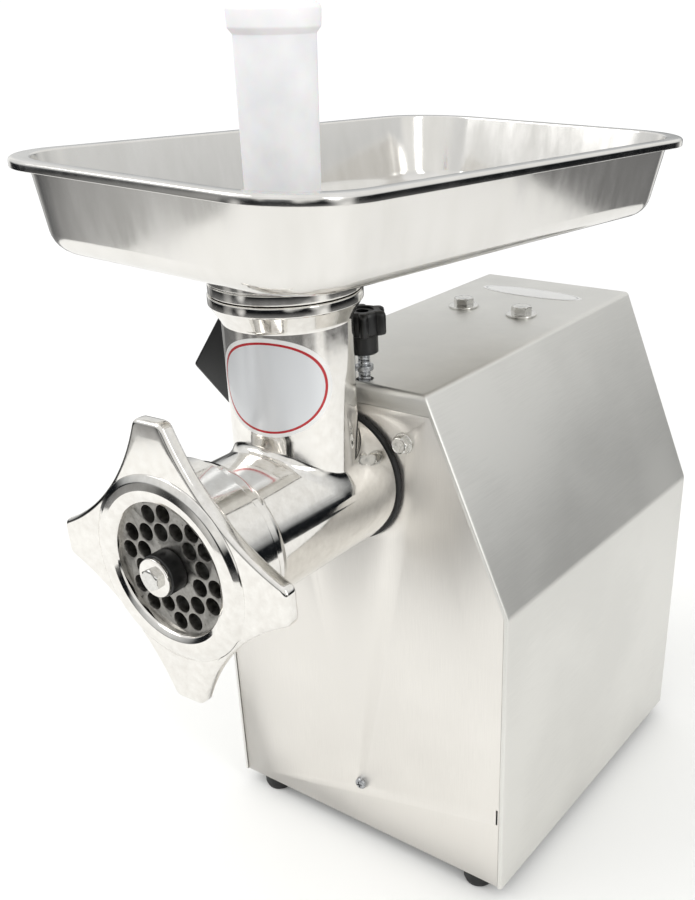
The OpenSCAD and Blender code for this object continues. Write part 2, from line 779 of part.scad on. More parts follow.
module tray_ring() {
    color("silver") placed() translate([0, -throat_y, 0]) difference() {
        union() {
            translate([0, 0, joint_z + 0.3]) cylinder(h = 18, r = throat_r + 4.5);
            translate([0, 0, joint_z - 18]) cylinder(h = 36, r = 27);
        }
        translate([0, 0, joint_z - 30]) cylinder(h = 60, r = 26);
        tray_underside();
    }
}

// the space that the pan fills above the ring
module tray_underside() {
    translate([0, throat_y, 0]) tray_frame() translate([-150, -200, -pan_depth - 0.05]) cube([300, 400, 60]);
}

// the pusher leans on the wall of the throat, towards the back and the right
module pusher() {
    color("white") placed() translate([0, -throat_y, pusher_low])
        rotate([0, 0, pusher_aim]) rotate([0, pusher_lean, 0]) rotate_extrude()
        polygon([[0, 0], [22.9, 0], [24.4, 2], [24.4, 46], [15.8, 72], [16.6, pusher_h - 12],
            [17.2, pusher_h - 10.5], [18.8, pusher_h - 8.5], [18.8, pusher_h - 3], [17.8, pusher_h - 0.8],
            [16.2, pusher_h], [0, pusher_h]]);
}

housing_shell();
front_panel();
rear_panel();
base_plate();
rubber_feet();
foot_screws();
front_panel_screw();
rear_panel_screws();
top_bolts();
top_bolt_washers();
top_badge();
cable_gland();
switch_housing();
switch_block();
start_button();
stop_button();
gearbox_housing();
gearbox_cover();
gearbox_bolts();
hanger_bracket();
flange_bolts();
flange_washers();
socket_gasket();
oil_seal();
output_shaft();
output_gear();
intermediate_shaft();
intermediate_pinion();
intermediate_gear();
front_bearings();
rear_bearings();
motor_case();
motor_stator();
motor_rotor();
motor_pinion();
motor_fan();
motor_cradle();
cradle_bolts();
run_capacitor();
grinder_head();
throat_label();
worm();
knife();
hole_plate();
plate_key();
ring_nut();
worm_bush();
worm_washer();
worm_bolt();
lock_pad();
lock_screw();
lock_nut();
lock_knob();
tray_pan();
tray_ring();
pusher();
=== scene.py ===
"""Looks of an electric meat grinder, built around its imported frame.

Laid out as an add-on: one operator makes each piece, and main() runs them in order.
Lengths are metres, except where a name ends in _mm or a comment says millimetres.
"""

import json
import math

import bmesh
import bpy
from mathutils import Euler, Matrix, Vector


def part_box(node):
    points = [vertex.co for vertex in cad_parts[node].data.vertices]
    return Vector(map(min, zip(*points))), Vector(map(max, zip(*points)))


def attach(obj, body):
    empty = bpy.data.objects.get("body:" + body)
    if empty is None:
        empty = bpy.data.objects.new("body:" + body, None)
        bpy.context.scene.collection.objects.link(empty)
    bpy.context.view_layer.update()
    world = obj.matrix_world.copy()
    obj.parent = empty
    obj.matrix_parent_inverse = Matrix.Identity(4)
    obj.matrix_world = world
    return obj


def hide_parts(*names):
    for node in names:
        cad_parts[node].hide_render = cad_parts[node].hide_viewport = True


bl_info = {
    "name": "Meat Grinder",
    "version": (1, 0, 0),
    "blender": (4, 5, 0),
    "location": "View3D > Sidebar > Grinder",
    "description": "Makes the sheet, castings, tray and fittings of an electric meat grinder",
    "category": "Add Mesh",
}

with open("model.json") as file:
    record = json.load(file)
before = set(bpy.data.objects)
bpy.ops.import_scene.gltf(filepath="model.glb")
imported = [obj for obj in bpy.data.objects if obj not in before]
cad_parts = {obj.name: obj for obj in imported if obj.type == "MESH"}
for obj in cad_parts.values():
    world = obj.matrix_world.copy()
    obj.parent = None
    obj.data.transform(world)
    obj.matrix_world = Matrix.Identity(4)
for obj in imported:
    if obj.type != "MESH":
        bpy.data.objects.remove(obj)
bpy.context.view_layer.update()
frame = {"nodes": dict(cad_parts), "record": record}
MM = 0.001
ORIGIN = Vector((0, 0, 0))


# ---------------------------------------------------------------- places, read from the frame

# the head's axis stands a little beside the frame's origin: pieces are made round it and set over last
SHIFT = Vector(((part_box("hole_plate")[0].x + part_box("hole_plate")[1].x) / 2, 0, 0))


def span(node):
    """The two corners of a node's box, measured from the head's own middle plane."""
    low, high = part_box(node)
    return low - SHIFT, high - SHIFT


def middle(node):
    low, high = span(node)
    return (low + high) / 2


HEAD_Z = middle("hole_plate").z
PLATE_FRONT = span("hole_plate")[0].y
PLATE_R = (span("hole_plate")[1].x - span("hole_plate")[0].x) / 2
SHELL_LOW, SHELL_HIGH = span("housing_shell")
PANEL_FRONT = SHELL_LOW.y
THROAT = middle("tray_ring")
# the outside of the casting, and the two faces of the tray's floor below its rim
THROAT_R_MM = 29
BARREL_R_MM = 33.5
FLOOR_TOP_MM = -37.1
FLOOR_UNDER_MM = -38.3
EDGE_LOW = SHELL_LOW.z


# ---------------------------------------------------------------- mesh helpers

def add_object(name, data):
    piece = bpy.data.objects.new(name, data)
    bpy.context.scene.collection.objects.link(piece)
    return piece


def make_object(name, verts, faces, smooth_angle=35):
    mesh = bpy.data.meshes.new(name)
    mesh.from_pydata([tuple(v) for v in verts], [], faces)
    piece = add_object(name, mesh)
    tidy_mesh(piece)
    shade(piece, smooth_angle)
    return piece


def tidy_mesh(piece):
    """Merges doubles and turns every face outwards."""
    work = bmesh.new()
    work.from_mesh(piece.data)
    bmesh.ops.remove_doubles(work, verts=work.verts, dist=1e-6)
    bmesh.ops.recalc_face_normals(work, faces=work.faces)
    work.to_mesh(piece.data)
    work.free()


def shade(piece, angle):
    piece.data.shade_smooth()
    piece.data.set_sharp_from_angle(angle=math.radians(angle))


def apply_modifiers(piece):
    """Replaces a piece's mesh with its evaluated one, and drops its modifiers."""
    depsgraph = bpy.context.evaluated_depsgraph_get()
    done = bpy.data.meshes.new_from_object(piece.evaluated_get(depsgraph), depsgraph=depsgraph)
    piece.modifiers.clear()
    piece.data = done
    return piece


def join(name, pieces):
    """One object from several, with the materials of each kept on its faces."""
    verts, faces, slots, mats = [], [], [], []
    for piece in pieces:
        start = len(verts)
        verts += [tuple(v.co) for v in piece.data.vertices]
        local = []
        for mat in piece.data.materials:
            if mat not in mats:
                mats.append(mat)
            local.append(mats.index(mat))
        for poly in piece.data.polygons:
            faces.append([start + i for i in poly.vertices])
            slots.append(local[poly.material_index] if local else 0)
        bpy.data.objects.remove(piece)
    mesh = bpy.data.meshes.new(name)
    mesh.from_pydata(verts, [], faces)
    for mat in mats:
        mesh.materials.append(mat)
    mesh.polygons.foreach_set("material_index", slots)
    whole = add_object(name, mesh)
    shade(whole, 35)
    return whole


def carve(piece, cutters, operation="DIFFERENCE"):
    """Cuts the cutters out of a piece, or joins them to it, as true solids."""
    for cutter in cutters:
        boolean = piece.modifiers.new("cut", "BOOLEAN")
        boolean.operation = operation
        boolean.solver = "EXACT"
        boolean.object = cutter
    apply_modifiers(piece)
    for cutter in cutters:
        bpy.data.objects.remove(cutter)
    return piece


def bevelled(piece, width_mm, segments=3, angle=30):
    bevel = piece.modifiers.new("edges", "BEVEL")
    bevel.width = width_mm * MM
    bevel.segments = segments
    bevel.limit_method = "ANGLE"
    bevel.angle_limit = math.radians(angle)
    bevel.use_clamp_overlap = True
    apply_modifiers(piece)
    shade(piece, 35)
    return piece


def rounded_profile(points, steps=5):
    """An outline whose corners (a, b, radius) are turned into arcs; its last point meets its first."""
    out = []
    count = len(points)
    for i, (a, b, radius) in enumerate(points):
        here = Vector((a, b))
        before = Vector(points[i - 1][:2]) - here
        after = Vector(points[(i + 1) % count][:2]) - here
        if radius <= 0 or before.length < 1e-9 or after.length < 1e-9:
            out.append((a, b))
            continue
        turn = before.angle(after)
        if turn > math.radians(178):
            out.append((a, b))
            continue
        reach = min(radius / math.tan(turn / 2), before.length * 0.49, after.length * 0.49)
        radius = reach * math.tan(turn / 2)
        bisector = (before.normalized() + after.normalized()).normalized()
        centre = here + bisector * (radius / math.sin(turn / 2))
        start = here + before.normalized() * reach - centre
        end = here + after.normalized() * reach - centre
        sweep = start.angle_signed(end)
        for k in range(steps + 1):
            swept = sweep * k / steps
            c, s = math.cos(-swept), math.sin(-swept)
            spoke = Vector((start.x * c - start.y * s, start.x * s + start.y * c))
            out.append(tuple(centre + spoke))
    return out


def ring_of_loops(loops, closed=True):
    """Faces between loops of equal length; closed joins the last loop to the first."""
    count = len(loops[0])
    verts = [v for loop in loops for v in loop]
    faces = []
    for k in range(len(loops) if closed else len(loops) - 1):
        a, b = k * count, ((k + 1) % len(loops)) * count
        for i in range(count):
            j = (i + 1) % count
            faces.append((a + i, a + j, b + j, b + i))
    return verts, faces


def capped(loops):
    """A tube of loops with both ends closed by a face."""
    verts, faces = ring_of_loops(loops, closed=False)
    count = len(loops[0])
    faces.append(tuple(range(count))[::-1])
    faces.append(tuple(range((len(loops) - 1) * count, len(loops) * count)))
    return verts, faces


AXES = {
    "up": Matrix.Identity(3),
    "front": Matrix(((1, 0, 0), (0, 0, -1), (0, 1, 0))),
    "back": Matrix(((-1, 0, 0), (0, 0, 1), (0, 1, 0))),
}


def turned(name, points, centre, facing="up", segments=96, smooth_angle=35, steps=5):
    """A piece turned on a lathe: points (radius, height, corner radius) in mm, about centre.

    A profile that starts and ends on the axis is a solid; any other is a ring."""
    profile = rounded_profile([(r * MM, h * MM, c * MM) for r, h, c in points], steps)
    solid = profile[0][0] < 1e-9 and profile[-1][0] < 1e-9
    rows = profile[1:-1] if solid else profile
    basis = AXES[facing]
    loops = []
    for radius, height in rows:
        loops.append([basis @ Vector((radius * math.cos(2 * math.pi * i / segments),
                                      radius * math.sin(2 * math.pi * i / segments), height)) + centre
                      for i in range(segments)])
    verts, faces = ring_of_loops(loops, closed=not solid)
    if solid:
        for end, first in ((profile[0], 0), (profile[-1], (len(rows) - 1) * segments)):
            tip = len(verts)
            verts.append(basis @ Vector((0, 0, end[1])) + centre)
            faces += [(first + i, first + (i + 1) % segments, tip) for i in range(segments)]
    return make_object(name, verts, faces, smooth_angle)


def plug(radius_mm, low_mm, high_mm, centre=ORIGIN, facing="up", segments=64):
    """A plain cylinder that cuts a round hole."""
    outline = [(0, low_mm, 0), (radius_mm, low_mm, 0), (radius_mm, high_mm, 0), (0, high_mm, 0)]
    return turned("cutter", outline, centre, facing, segments)


def box_piece(name, low, high):
    corners = [(x, y, z) for x in (low.x, high.x) for y in (low.y, high.y) for z in (low.z, high.z)]
    faces = [(0, 1, 3, 2), (4, 6, 7, 5), (0, 4, 5, 1), (2, 3, 7, 6), (0, 2, 6, 4), (1, 5, 7, 3)]
    return make_object(name, corners, faces)


def extruded(name, outline, y0, y1):
    """An outline in x and z, drawn out along y."""
    loops = [[Vector((x, y, z)) for x, z in outline] for y in (y0, y1)]
    verts, faces = capped(loops)
    return make_object(name, verts, faces)


def rounded_rectangle(half_x, half_y, radius, arc=14, side=8):
    """Points round a rounded rectangle, the same number on every size of it."""
    points = []
    inner_x, inner_y = half_x - radius, half_y - radius
    for k in range(4):
        a0 = k * math.pi / 2
        cx = inner_x if k in (0, 3) else -inner_x
        cy = inner_y if k in (0, 1) else -inner_y
        corner = [(cx + radius * math.cos(a0 + a * math.pi / 2 / arc),
                   cy + radius * math.sin(a0 + a * math.pi / 2 / arc)) for a in range(arc + 1)]
        points += corner
        nx = inner_x if (k + 1) % 4 in (0, 3) else -inner_x
        ny = inner_y if (k + 1) % 4 in (0, 1) else -inner_y
        a1 = a0 + math.pi / 2
        start = Vector(corner[-1])
        end = Vector((nx + radius * math.cos(a1), ny + radius * math.sin(a1)))
        points += [tuple(start.lerp(end, s / side)) for s in range(1, side)]
    return points


# ---------------------------------------------------------------- material helpers

def linear(colour):
    """An sRGB hex colour as the linear RGBA that shaders take."""
    values = [int(colour[i:i + 2], 16) / 255 for i in (1, 3, 5)]
    return [v / 12.92 if v <= 0.04045 else ((v + 0.055) / 1.055) ** 2.4 for v in values] + [1.0]


def add_node(tree, kind, settings=None, inputs=None, links=None):
    """Adds one node, sets its properties and sockets, and links sockets from (node, output)."""
    node = tree.nodes.new(kind)
    for key, value in (settings or {}).items():
        setattr(node, key, value)
    for key, value in (inputs or {}).items():
        node.inputs[key].default_value = value
    for key, (source, output) in (links or {}).items():
        tree.links.new(source.outputs[output], node.inputs[key])
    return node


def start_material(name, colour, metallic, roughness, **sockets):
    """A new material, with its tree, its Principled shader and its texture coordinates."""
    mat = bpy.data.materials.new(name)
    mat.use_nodes = True
    tree = mat.node_tree
    shader = tree.nodes["Principled BSDF"]
    shader.inputs["Base Color"].default_value = linear(colour)
    shader.inputs["Metallic"].default_value = metallic
    shader.inputs["Roughness"].default_value = roughness
    for key, value in sockets.items():
        shader.inputs[key.replace("_", " ")].default_value = value
    place = add_node(tree, "ShaderNodeTexCoord")
    return mat, tree, shader, place


def mottle(tree, place, scale, detail=4, rough=0.55, stretch=(1, 1, 1)):
    """Noise at a real scale: scale is cells per metre, and stretch squeezes it along an axis."""
    mapping = add_node(tree, "ShaderNodeMapping", inputs={"Scale": stretch},
                       links={"Vector": (place, "Object")})
    return add_node(tree, "ShaderNodeTexNoise", inputs={"Scale": scale, "Detail": detail, "Roughness": rough},
                    links={"Vector": (mapping, "Vector")})


def remap(tree, source, output, low, high, from_low=0.3, from_high=0.7):
    return add_node(tree, "ShaderNodeMapRange",
                    inputs={"From Min": from_low, "From Max": from_high, "To Min": low, "To Max": high},
                    links={"Value": (source, output)})


def tint(tree, shader, source, output, dark, light):
    """Colours the shader between two hex values, driven by a pattern."""
    ramp = add_node(tree, "ShaderNodeValToRGB", links={"Fac": (source, output)})
    ramp.color_ramp.elements[0].position = 0.3
    ramp.color_ramp.elements[0].color = linear(dark)
    ramp.color_ramp.elements[1].position = 0.7
    ramp.color_ramp.elements[1].color = linear(light)
    tree.links.new(ramp.outputs["Color"], shader.inputs["Base Color"])


def roughen(tree, shader, *pattern):
    """Drives the shader's roughness with a pattern, given as remap takes it."""
    rough = remap(tree, *pattern)
    tree.links.new(rough.outputs["Result"], shader.inputs["Roughness"])


def relief(tree, shader, source, output, strength, depth_mm, below=None):
    """A bump of real depth; below is an earlier bump that it adds to."""
    links = {"Height": (source, output)}
    if below:
        links["Normal"] = (below, "Normal")
    bump = add_node(tree, "ShaderNodeBump", inputs={"Strength": strength, "Distance": depth_mm * MM},
                    links=links)
    tree.links.new(bump.outputs["Normal"], shader.inputs["Normal"])
    return bump


def brushed_stainless(name, light, dark, roughness, grain=(1, 1, 30), depth_mm=0.004):
    """Stainless sheet with a belt-brushed grain: soft reflections drawn out across the lines."""
    mat, tree, shader, place = start_material(name, light, 1.0, roughness)
    # the grit lines are drawn coarser than real ones, at about 0.5 mm
    lines = mottle(tree, place, 60, 6, 0.65, grain)
    clouds = mottle(tree, place, 9, 3, 0.5)
    mix = add_node(tree, "ShaderNodeMath", {"operation": "MULTIPLY_ADD"}, {1: 0.45},
                   {0: (lines, "Fac"), 2: (clouds, "Fac")})
    tint(tree, shader, remap(tree, mix, "Value", 0.0, 1.0, 0.45, 1.0), "Result", dark, light)
    roughen(tree, shader, mix, "Value", roughness - 0.05, roughness + 0.07, 0.45, 1.0)
    wave = relief(tree, shader, clouds, "Fac", 0.35, 0.5)
    relief(tree, shader, lines, "Fac", 0.5, depth_mm, wave)
    return mat


def polished_casting(name, light, dark, roughness=0.05, wave_mm=0.25):
    """Tinned casting buffed bright: a near mirror with slow waves and faint buffing haze."""
    mat, tree, shader, place = start_material(name, light, 1.0, roughness)
    haze = mottle(tree, place, 240, 5, 0.6)
    wave = mottle(tree, place, 26, 2, 0.4)
    tint(tree, shader, haze, "Fac", dark, light)
    roughen(tree, shader, haze, "Fac", roughness, roughness + 0.07)
    slow = relief(tree, shader, wave, "Fac", 0.35, wave_mm)
    relief(tree, shader, haze, "Fac", 0.12, 0.01, slow)
    return mat


def pressed_stainless(name, light, dark, roughness=0.13):
    """Deep-drawn stainless sheet: bright, with fine draw marks and slightly uneven walls."""
    mat, tree, shader, place = start_material(name, light, 1.0, roughness)
    draw = mottle(tree, place, 70, 5, 0.6, (1, 1, 0.25))
    wave = mottle(tree, place, 14, 2, 0.45)
    tint(tree, shader, draw, "Fac", dark, light)
    roughen(tree, shader, draw, "Fac", roughness - 0.03, roughness + 0.08)
    slow = relief(tree, shader, wave, "Fac", 0.4, 0.6)
    relief(tree, shader, draw, "Fac", 0.2, 0.01, slow)
    return mat


def turned_metal(name, light, dark, roughness, grain_mm=0.02, scale=900):
    """Turned or ground metal part: satin, with a fine tool grain."""
    mat, tree, shader, place = start_material(name, light, 1.0, roughness)
    grain = mottle(tree, place, scale, 4, 0.6)
    tint(tree, shader, grain, "Fac", dark, light)
    roughen(tree, shader, grain, "Fac", roughness - 0.05, roughness + 0.1)
    relief(tree, shader, grain, "Fac", 0.35, grain_mm)
    return mat


def moulded_plastic(name, light, dark, roughness, scale=1400, depth_mm=0.02, **sockets):
    """Injection-moulded plastic: even colour under a fine spark-eroded grain."""
    mat, tree, shader, place = start_material(name, light, 0.0, roughness, **sockets)
    grain = mottle(tree, place, scale, 3, 0.5)
    cloud = mottle(tree, place, 60, 2, 0.5)
    tint(tree, shader, cloud, "Fac", dark, light)
    roughen(tree, shader, grain, "Fac", roughness - 0.04, roughness + 0.08)
    relief(tree, shader, grain, "Fac", 0.3, depth_mm)
    return mat


def oval_film(name, field, edge, band_low, band_high, roughness, metallic):
    """Printed film: its own UV map gives the distance from the middle, and a band near the rim is inked."""
    mat, tree, shader, place = start_material(name, field, metallic, roughness, Coat_Weight=0.4)
    centre = add_node(tree, "ShaderNodeVectorMath", {"operation": "SUBTRACT"}, {1: (0.5, 0.5, 0)},
                      {0: (place, "UV")})
    reach = add_node(tree, "ShaderNodeVectorMath", {"operation": "LENGTH"}, links={0: (centre, "Vector")})
    ramp = add_node(tree, "ShaderNodeValToRGB", links={"Fac": (reach, "Value")})
    ramp.color_ramp.interpolation = "CONSTANT"
    ramp.color_ramp.elements[0].color = linear(field)
    ramp.color_ramp.elements[1].position = band_low
    ramp.color_ramp.elements[1].color = linear(edge)
    last = ramp.color_ramp.elements.new(band_high)
    last.color = linear("#EDEDEB")
    tree.links.new(ramp.outputs["Color"], shader.inputs["Base Color"])
    print_grain = mottle(tree, place, 900, 3, 0.5)
    relief(tree, shader, print_grain, "Fac", 0.2, 0.01)
    return mat


def varnished_laminations(name, light, dark):
    """Stacked motor steel under varnish: 0.5 mm sheets that show as fine rings along the motor."""
    mat, tree, shader, place = start_material(name, light, 0.6, 0.4)
    sheets = add_node(tree, "ShaderNodeTexWave", {"wave_type": "BANDS", "bands_direction": "Y"},
                      {"Scale": 300, "Distortion": 0.3}, {"Vector": (place, "Object")})
    tint(tree, shader, sheets, "Fac", dark, light)
    relief(tree, shader, sheets, "Fac", 0.4, 0.1)
    return mat


MATERIALS = {}


def finish_for(slot):
    return MATERIALS[slot]


def coat_whole(piece, material):
    piece.data.materials.clear()
    piece.data.materials.append(material)


def wear(piece, slot):
    """Gives a whole piece the finish of one slot."""
    coat_whole(piece, finish_for(slot))


def settle(piece, slot, body, *nodes):
    """Finishes a new piece: its material, its body and the frame nodes it stands for."""
    wear(piece, slot)
    move_mesh(piece, Matrix.Translation(SHIFT))
    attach(piece, body)
    if nodes:
        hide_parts(*nodes)
    return piece


# ---------------------------------------------------------------- geometry node trees

def new_tree(name, sockets):
    """A geometry tree with named inputs: (name, socket type, default)."""
    tree = bpy.data.node_groups.new(name, "GeometryNodeTree")
    tree.interface.new_socket("Geometry", in_out="INPUT", socket_type="NodeSocketGeometry")
    for label, kind, value in sockets:
        made = tree.interface.new_socket(label, in_out="INPUT", socket_type=kind)
        if value is not None:
            made.default_value = value
    tree.interface.new_socket("Geometry", in_out="OUTPUT", socket_type="NodeSocketGeometry")
    return tree, add_node(tree, "NodeGroupInput"), add_node(tree, "NodeGroupOutput")


def run_tree(name, tree, values, verts=((0, 0, 0),)):
    """Runs a tree on a few seed points and returns the plain mesh it makes."""
    mesh = bpy.data.meshes.new(name)
    mesh.from_pydata([tuple(v) for v in verts], [], [])
    piece = add_object(name, mesh)
    modifier = piece.modifiers.new(name, "NODES")
    modifier.node_group = tree
    for item in tree.interface.items_tree:
        if item.in_out == "INPUT" and item.name in values:
            modifier[item.identifier] = values[item.name]
    apply_modifiers(piece)
    shade(piece, 35)
    return piece


def repeat_tree():
    """One solid, set down on every point of the mesh that carries the tree."""
    tree, given, out = new_tree("repeated fitting", [
        ("Fitting", "NodeSocketObject", None), ("Finish", "NodeSocketMaterial", None)])
    shape = add_node(tree, "GeometryNodeObjectInfo", links={"Object": (given, "Fitting")})
    spread = add_node(tree, "GeometryNodeInstanceOnPoints",
                      links={"Points": (given, "Geometry"), "Instance": (shape, "Geometry")})
    real = add_node(tree, "GeometryNodeRealizeInstances", links={"Geometry": (spread, "Instances")})
    coat = add_node(tree, "GeometryNodeSetMaterial",
                    links={"Geometry": (real, "Geometry"), "Material": (given, "Finish")})
    tree.links.new(coat.outputs["Geometry"], out.inputs["Geometry"])
    return tree


def perforation_tree():
    """A disc with a hexagonal grid of round holes between an inner and an outer reach."""
    tree, given, out = new_tree("perforated disc", [
        ("Disc Radius", "NodeSocketFloat", 0.03), ("Thickness", "NodeSocketFloat", 0.008),
        ("Centre Bore", "NodeSocketFloat", 0.006), ("Hole Radius", "NodeSocketFloat", 0.004),
        ("Pitch", "NodeSocketFloat", 0.0095), ("Inner Reach", "NodeSocketFloat", 0.011),
        ("Outer Reach", "NodeSocketFloat", 0.027), ("Turn", "NodeSocketFloat", 0.0),
        ("Finish", "NodeSocketMaterial", None)])
    disc = add_node(tree, "GeometryNodeMeshCylinder", inputs={"Vertices": 128},
                    links={"Radius": (given, "Disc Radius"), "Depth": (given, "Thickness")})
    grid = add_node(tree, "GeometryNodeMeshGrid", inputs={
        "Vertices X": 9, "Vertices Y": 9, "Size X": 8.0, "Size Y": 8.0})
    square = add_node(tree, "GeometryNodeInputPosition")
    parts = add_node(tree, "ShaderNodeSeparateXYZ", links={"Vector": (square, "Position")})
    # a square grid leans over by half a step a row and is squeezed to a hexagonal one
    lean = add_node(tree, "ShaderNodeMath", {"operation": "MULTIPLY_ADD"}, {1: 0.5},
                    {0: (parts, "Y"), 2: (parts, "X")})
    squeeze = add_node(tree, "ShaderNodeMath", {"operation": "MULTIPLY"}, {1: math.sqrt(3) / 2},
                       {0: (parts, "Y")})
    point = add_node(tree, "ShaderNodeCombineXYZ", links={"X": (lean, "Value"), "Y": (squeeze, "Value")})
    scaled = add_node(tree, "ShaderNodeVectorMath", {"operation": "SCALE"},
                      links={0: (point, "Vector"), "Scale": (given, "Pitch")})
    turn = add_node(tree, "ShaderNodeVectorRotate", {"rotation_type": "Z_AXIS"},
                    links={"Vector": (scaled, "Vector"), "Angle": (given, "Turn")})
    moved = add_node(tree, "GeometryNodeSetPosition",
                     links={"Geometry": (grid, "Mesh"), "Position": (turn, "Vector")})
    where = add_node(tree, "GeometryNodeInputPosition")
    reach = add_node(tree, "ShaderNodeVectorMath", {"operation": "LENGTH"}, links={0: (where, "Position")})
    near = add_node(tree, "FunctionNodeCompare", {"operation": "LESS_THAN"},
                    links={0: (reach, "Value"), 1: (given, "Inner Reach")})
    far = add_node(tree, "FunctionNodeCompare", {"operation": "GREATER_THAN"},
                   links={0: (reach, "Value"), 1: (given, "Outer Reach")})
    outside = add_node(tree, "FunctionNodeBooleanMath", {"operation": "OR"},
                       links={0: (near, "Result"), 1: (far, "Result")})
    kept = add_node(tree, "GeometryNodeDeleteGeometry", {"domain": "POINT"},
                    links={"Geometry": (moved, "Geometry"), "Selection": (outside, "Boolean")})
    drill = add_node(tree, "GeometryNodeMeshCylinder", inputs={"Vertices": 32, "Depth": 0.05},
                     links={"Radius": (given, "Hole Radius")})
    holes = add_node(tree, "GeometryNodeInstanceOnPoints",
                     links={"Points": (kept, "Geometry"), "Instance": (drill, "Mesh")})
    solid_holes = add_node(tree, "GeometryNodeRealizeInstances", links={"Geometry": (holes, "Instances")})
    bore = add_node(tree, "GeometryNodeMeshCylinder", inputs={"Vertices": 48, "Depth": 0.05},
                    links={"Radius": (given, "Centre Bore")})
    tools = add_node(tree, "GeometryNodeJoinGeometry", links={"Geometry": (solid_holes, "Geometry")})
    tree.links.new(bore.outputs["Mesh"], tools.inputs["Geometry"])
    cut = add_node(tree, "GeometryNodeMeshBoolean", {"operation": "DIFFERENCE", "solver": "EXACT"},
                   links={"Mesh 1": (disc, "Mesh"), "Mesh 2": (tools, "Geometry")})
    coat = add_node(tree, "GeometryNodeSetMaterial",
                    links={"Geometry": (cut, "Mesh"), "Material": (given, "Finish")})
    real = add_node(tree, "GeometryNodeRealizeInstances", links={"Geometry": (coat, "Geometry")})
    tree.links.new(real.outputs["Geometry"], out.inputs["Geometry"])
    return tree


def thread_tree():
    """A threaded rod: a helix of triangular section wound on a core."""
    tree, given, out = new_tree("threaded rod", [
        ("Core Radius", "NodeSocketFloat", 0.0026), ("Length", "NodeSocketFloat", 0.02),
        ("Turns", "NodeSocketFloat", 16.0), ("Tooth", "NodeSocketFloat", 0.0005),
        ("Finish", "NodeSocketMaterial", None)])
    helix = add_node(tree, "GeometryNodeCurveSpiral", inputs={"Resolution": 24},
                     links={"Rotations": (given, "Turns"), "Start Radius": (given, "Core Radius"),
                            "End Radius": (given, "Core Radius"), "Height": (given, "Length")})
    tooth = add_node(tree, "GeometryNodeCurvePrimitiveCircle", inputs={"Resolution": 4},
                     links={"Radius": (given, "Tooth")})
    sweep = add_node(tree, "GeometryNodeCurveToMesh", inputs={"Fill Caps": True},
                     links={"Curve": (helix, "Curve"), "Profile Curve": (tooth, "Curve")})
    core = add_node(tree, "GeometryNodeMeshCylinder", inputs={"Vertices": 40},
                    links={"Radius": (given, "Core Radius"), "Depth": (given, "Length")})
    half = add_node(tree, "ShaderNodeMath", {"operation": "MULTIPLY"}, {1: 0.5}, {0: (given, "Length")})
    lift = add_node(tree, "ShaderNodeCombineXYZ", links={"Z": (half, "Value")})
    raised = add_node(tree, "GeometryNodeTransform",
                      links={"Geometry": (core, "Mesh"), "Translation": (lift, "Vector")})
    both = add_node(tree, "GeometryNodeJoinGeometry", links={"Geometry": (raised, "Geometry")})
    tree.links.new(sweep.outputs["Mesh"], both.inputs["Geometry"])
    real = add_node(tree, "GeometryNodeRealizeInstances", links={"Geometry": (both, "Geometry")})
    coat = add_node(tree, "GeometryNodeSetMaterial",
                    links={"Geometry": (real, "Geometry"), "Material": (given, "Finish")})
    tree.links.new(coat.outputs["Geometry"], out.inputs["Geometry"])
    return tree


def move_mesh(piece, matrix):
    piece.data.transform(matrix)
    return piece


def repeated(name, fitting, points, slot):
    """One mesh with a copy of the fitting on every point."""
    made = run_tree(name, repeat_tree(), {"Fitting": fitting, "Finish": finish_for(slot)}, points)
    bpy.data.objects.remove(fitting)
    return made


def solid_centres(node):
    """Middle of each separate solid of a frame node."""
    mesh = frame["nodes"][node].data
    work = bmesh.new()
    work.from_mesh(mesh)
    bmesh.ops.remove_doubles(work, verts=work.verts, dist=1e-6)
    left = set(work.verts)
    centres = []
    while left:
        stack = [left.pop()]
        found = list(stack)
        while stack:
            for edge in stack.pop().link_edges:
                for vert in edge.verts:
                    if vert in left:
                        left.remove(vert)
                        stack.append(vert)
                        found.append(vert)
        low = Vector([min(v.co[i] for v in found) for i in range(3)])
        high = Vector([max(v.co[i] for v in found) for i in range(3)])
        centres.append((low + high) / 2 - SHIFT)
    work.free()
    return sorted(centres, key=lambda c: (round(c.x, 4), round(c.y, 4), round(c.z, 4)))


# ---------------------------------------------------------------- settings

def length(name, text, value_mm):
    return bpy.props.FloatProperty(name=name, description=text, default=value_mm * MM, unit="LENGTH")


def angle(name, text, degrees):
    return bpy.props.FloatProperty(name=name, description=text, default=math.radians(degrees),
                                   subtype="ANGLE")


class HousingSettings(bpy.types.PropertyGroup):
    """Sheet-steel housing."""
    bend_radius: length("Bend Radius", "Outer radius of the sheet's bends", 2.2)
    sheet: length("Sheet", "Thickness of the sheet", 1.2)
    hem: length("Hem", "Width of the folded hem round the front and rear", 2.3)
    lip: length("Top Lip", "Height of the top's lip over the front panel", 10)
    bend_front: length("Bend Height, Front", "Height of the side bend in front", 173)
    bend_back: length("Bend Height, Back", "Height of the side bend behind", 168)
    top_width: length("Top Width", "Width of the flat top", 97)


class HeadSettings(bpy.types.PropertyGroup):
    """Cast head and its ring nut."""
    fillet: length("Throat Fillet", "Radius where the throat meets the barrel", 4)
    nut_edge: length("Nut Edge", "Radius of the ring nut's front edge", 2.0)
    nut_corner: length("Nut Corner", "Radius of the corners of each ear", 4.0)
    ear_reach: length("Ear Reach", "Reach of each ear from the axis", 66)
    ear_half: length("Ear Half Width", "Half the width of each ear's tip", 8)
    nut_turn: angle("Nut Turn", "Turn of the nut on its thread", 1.6)


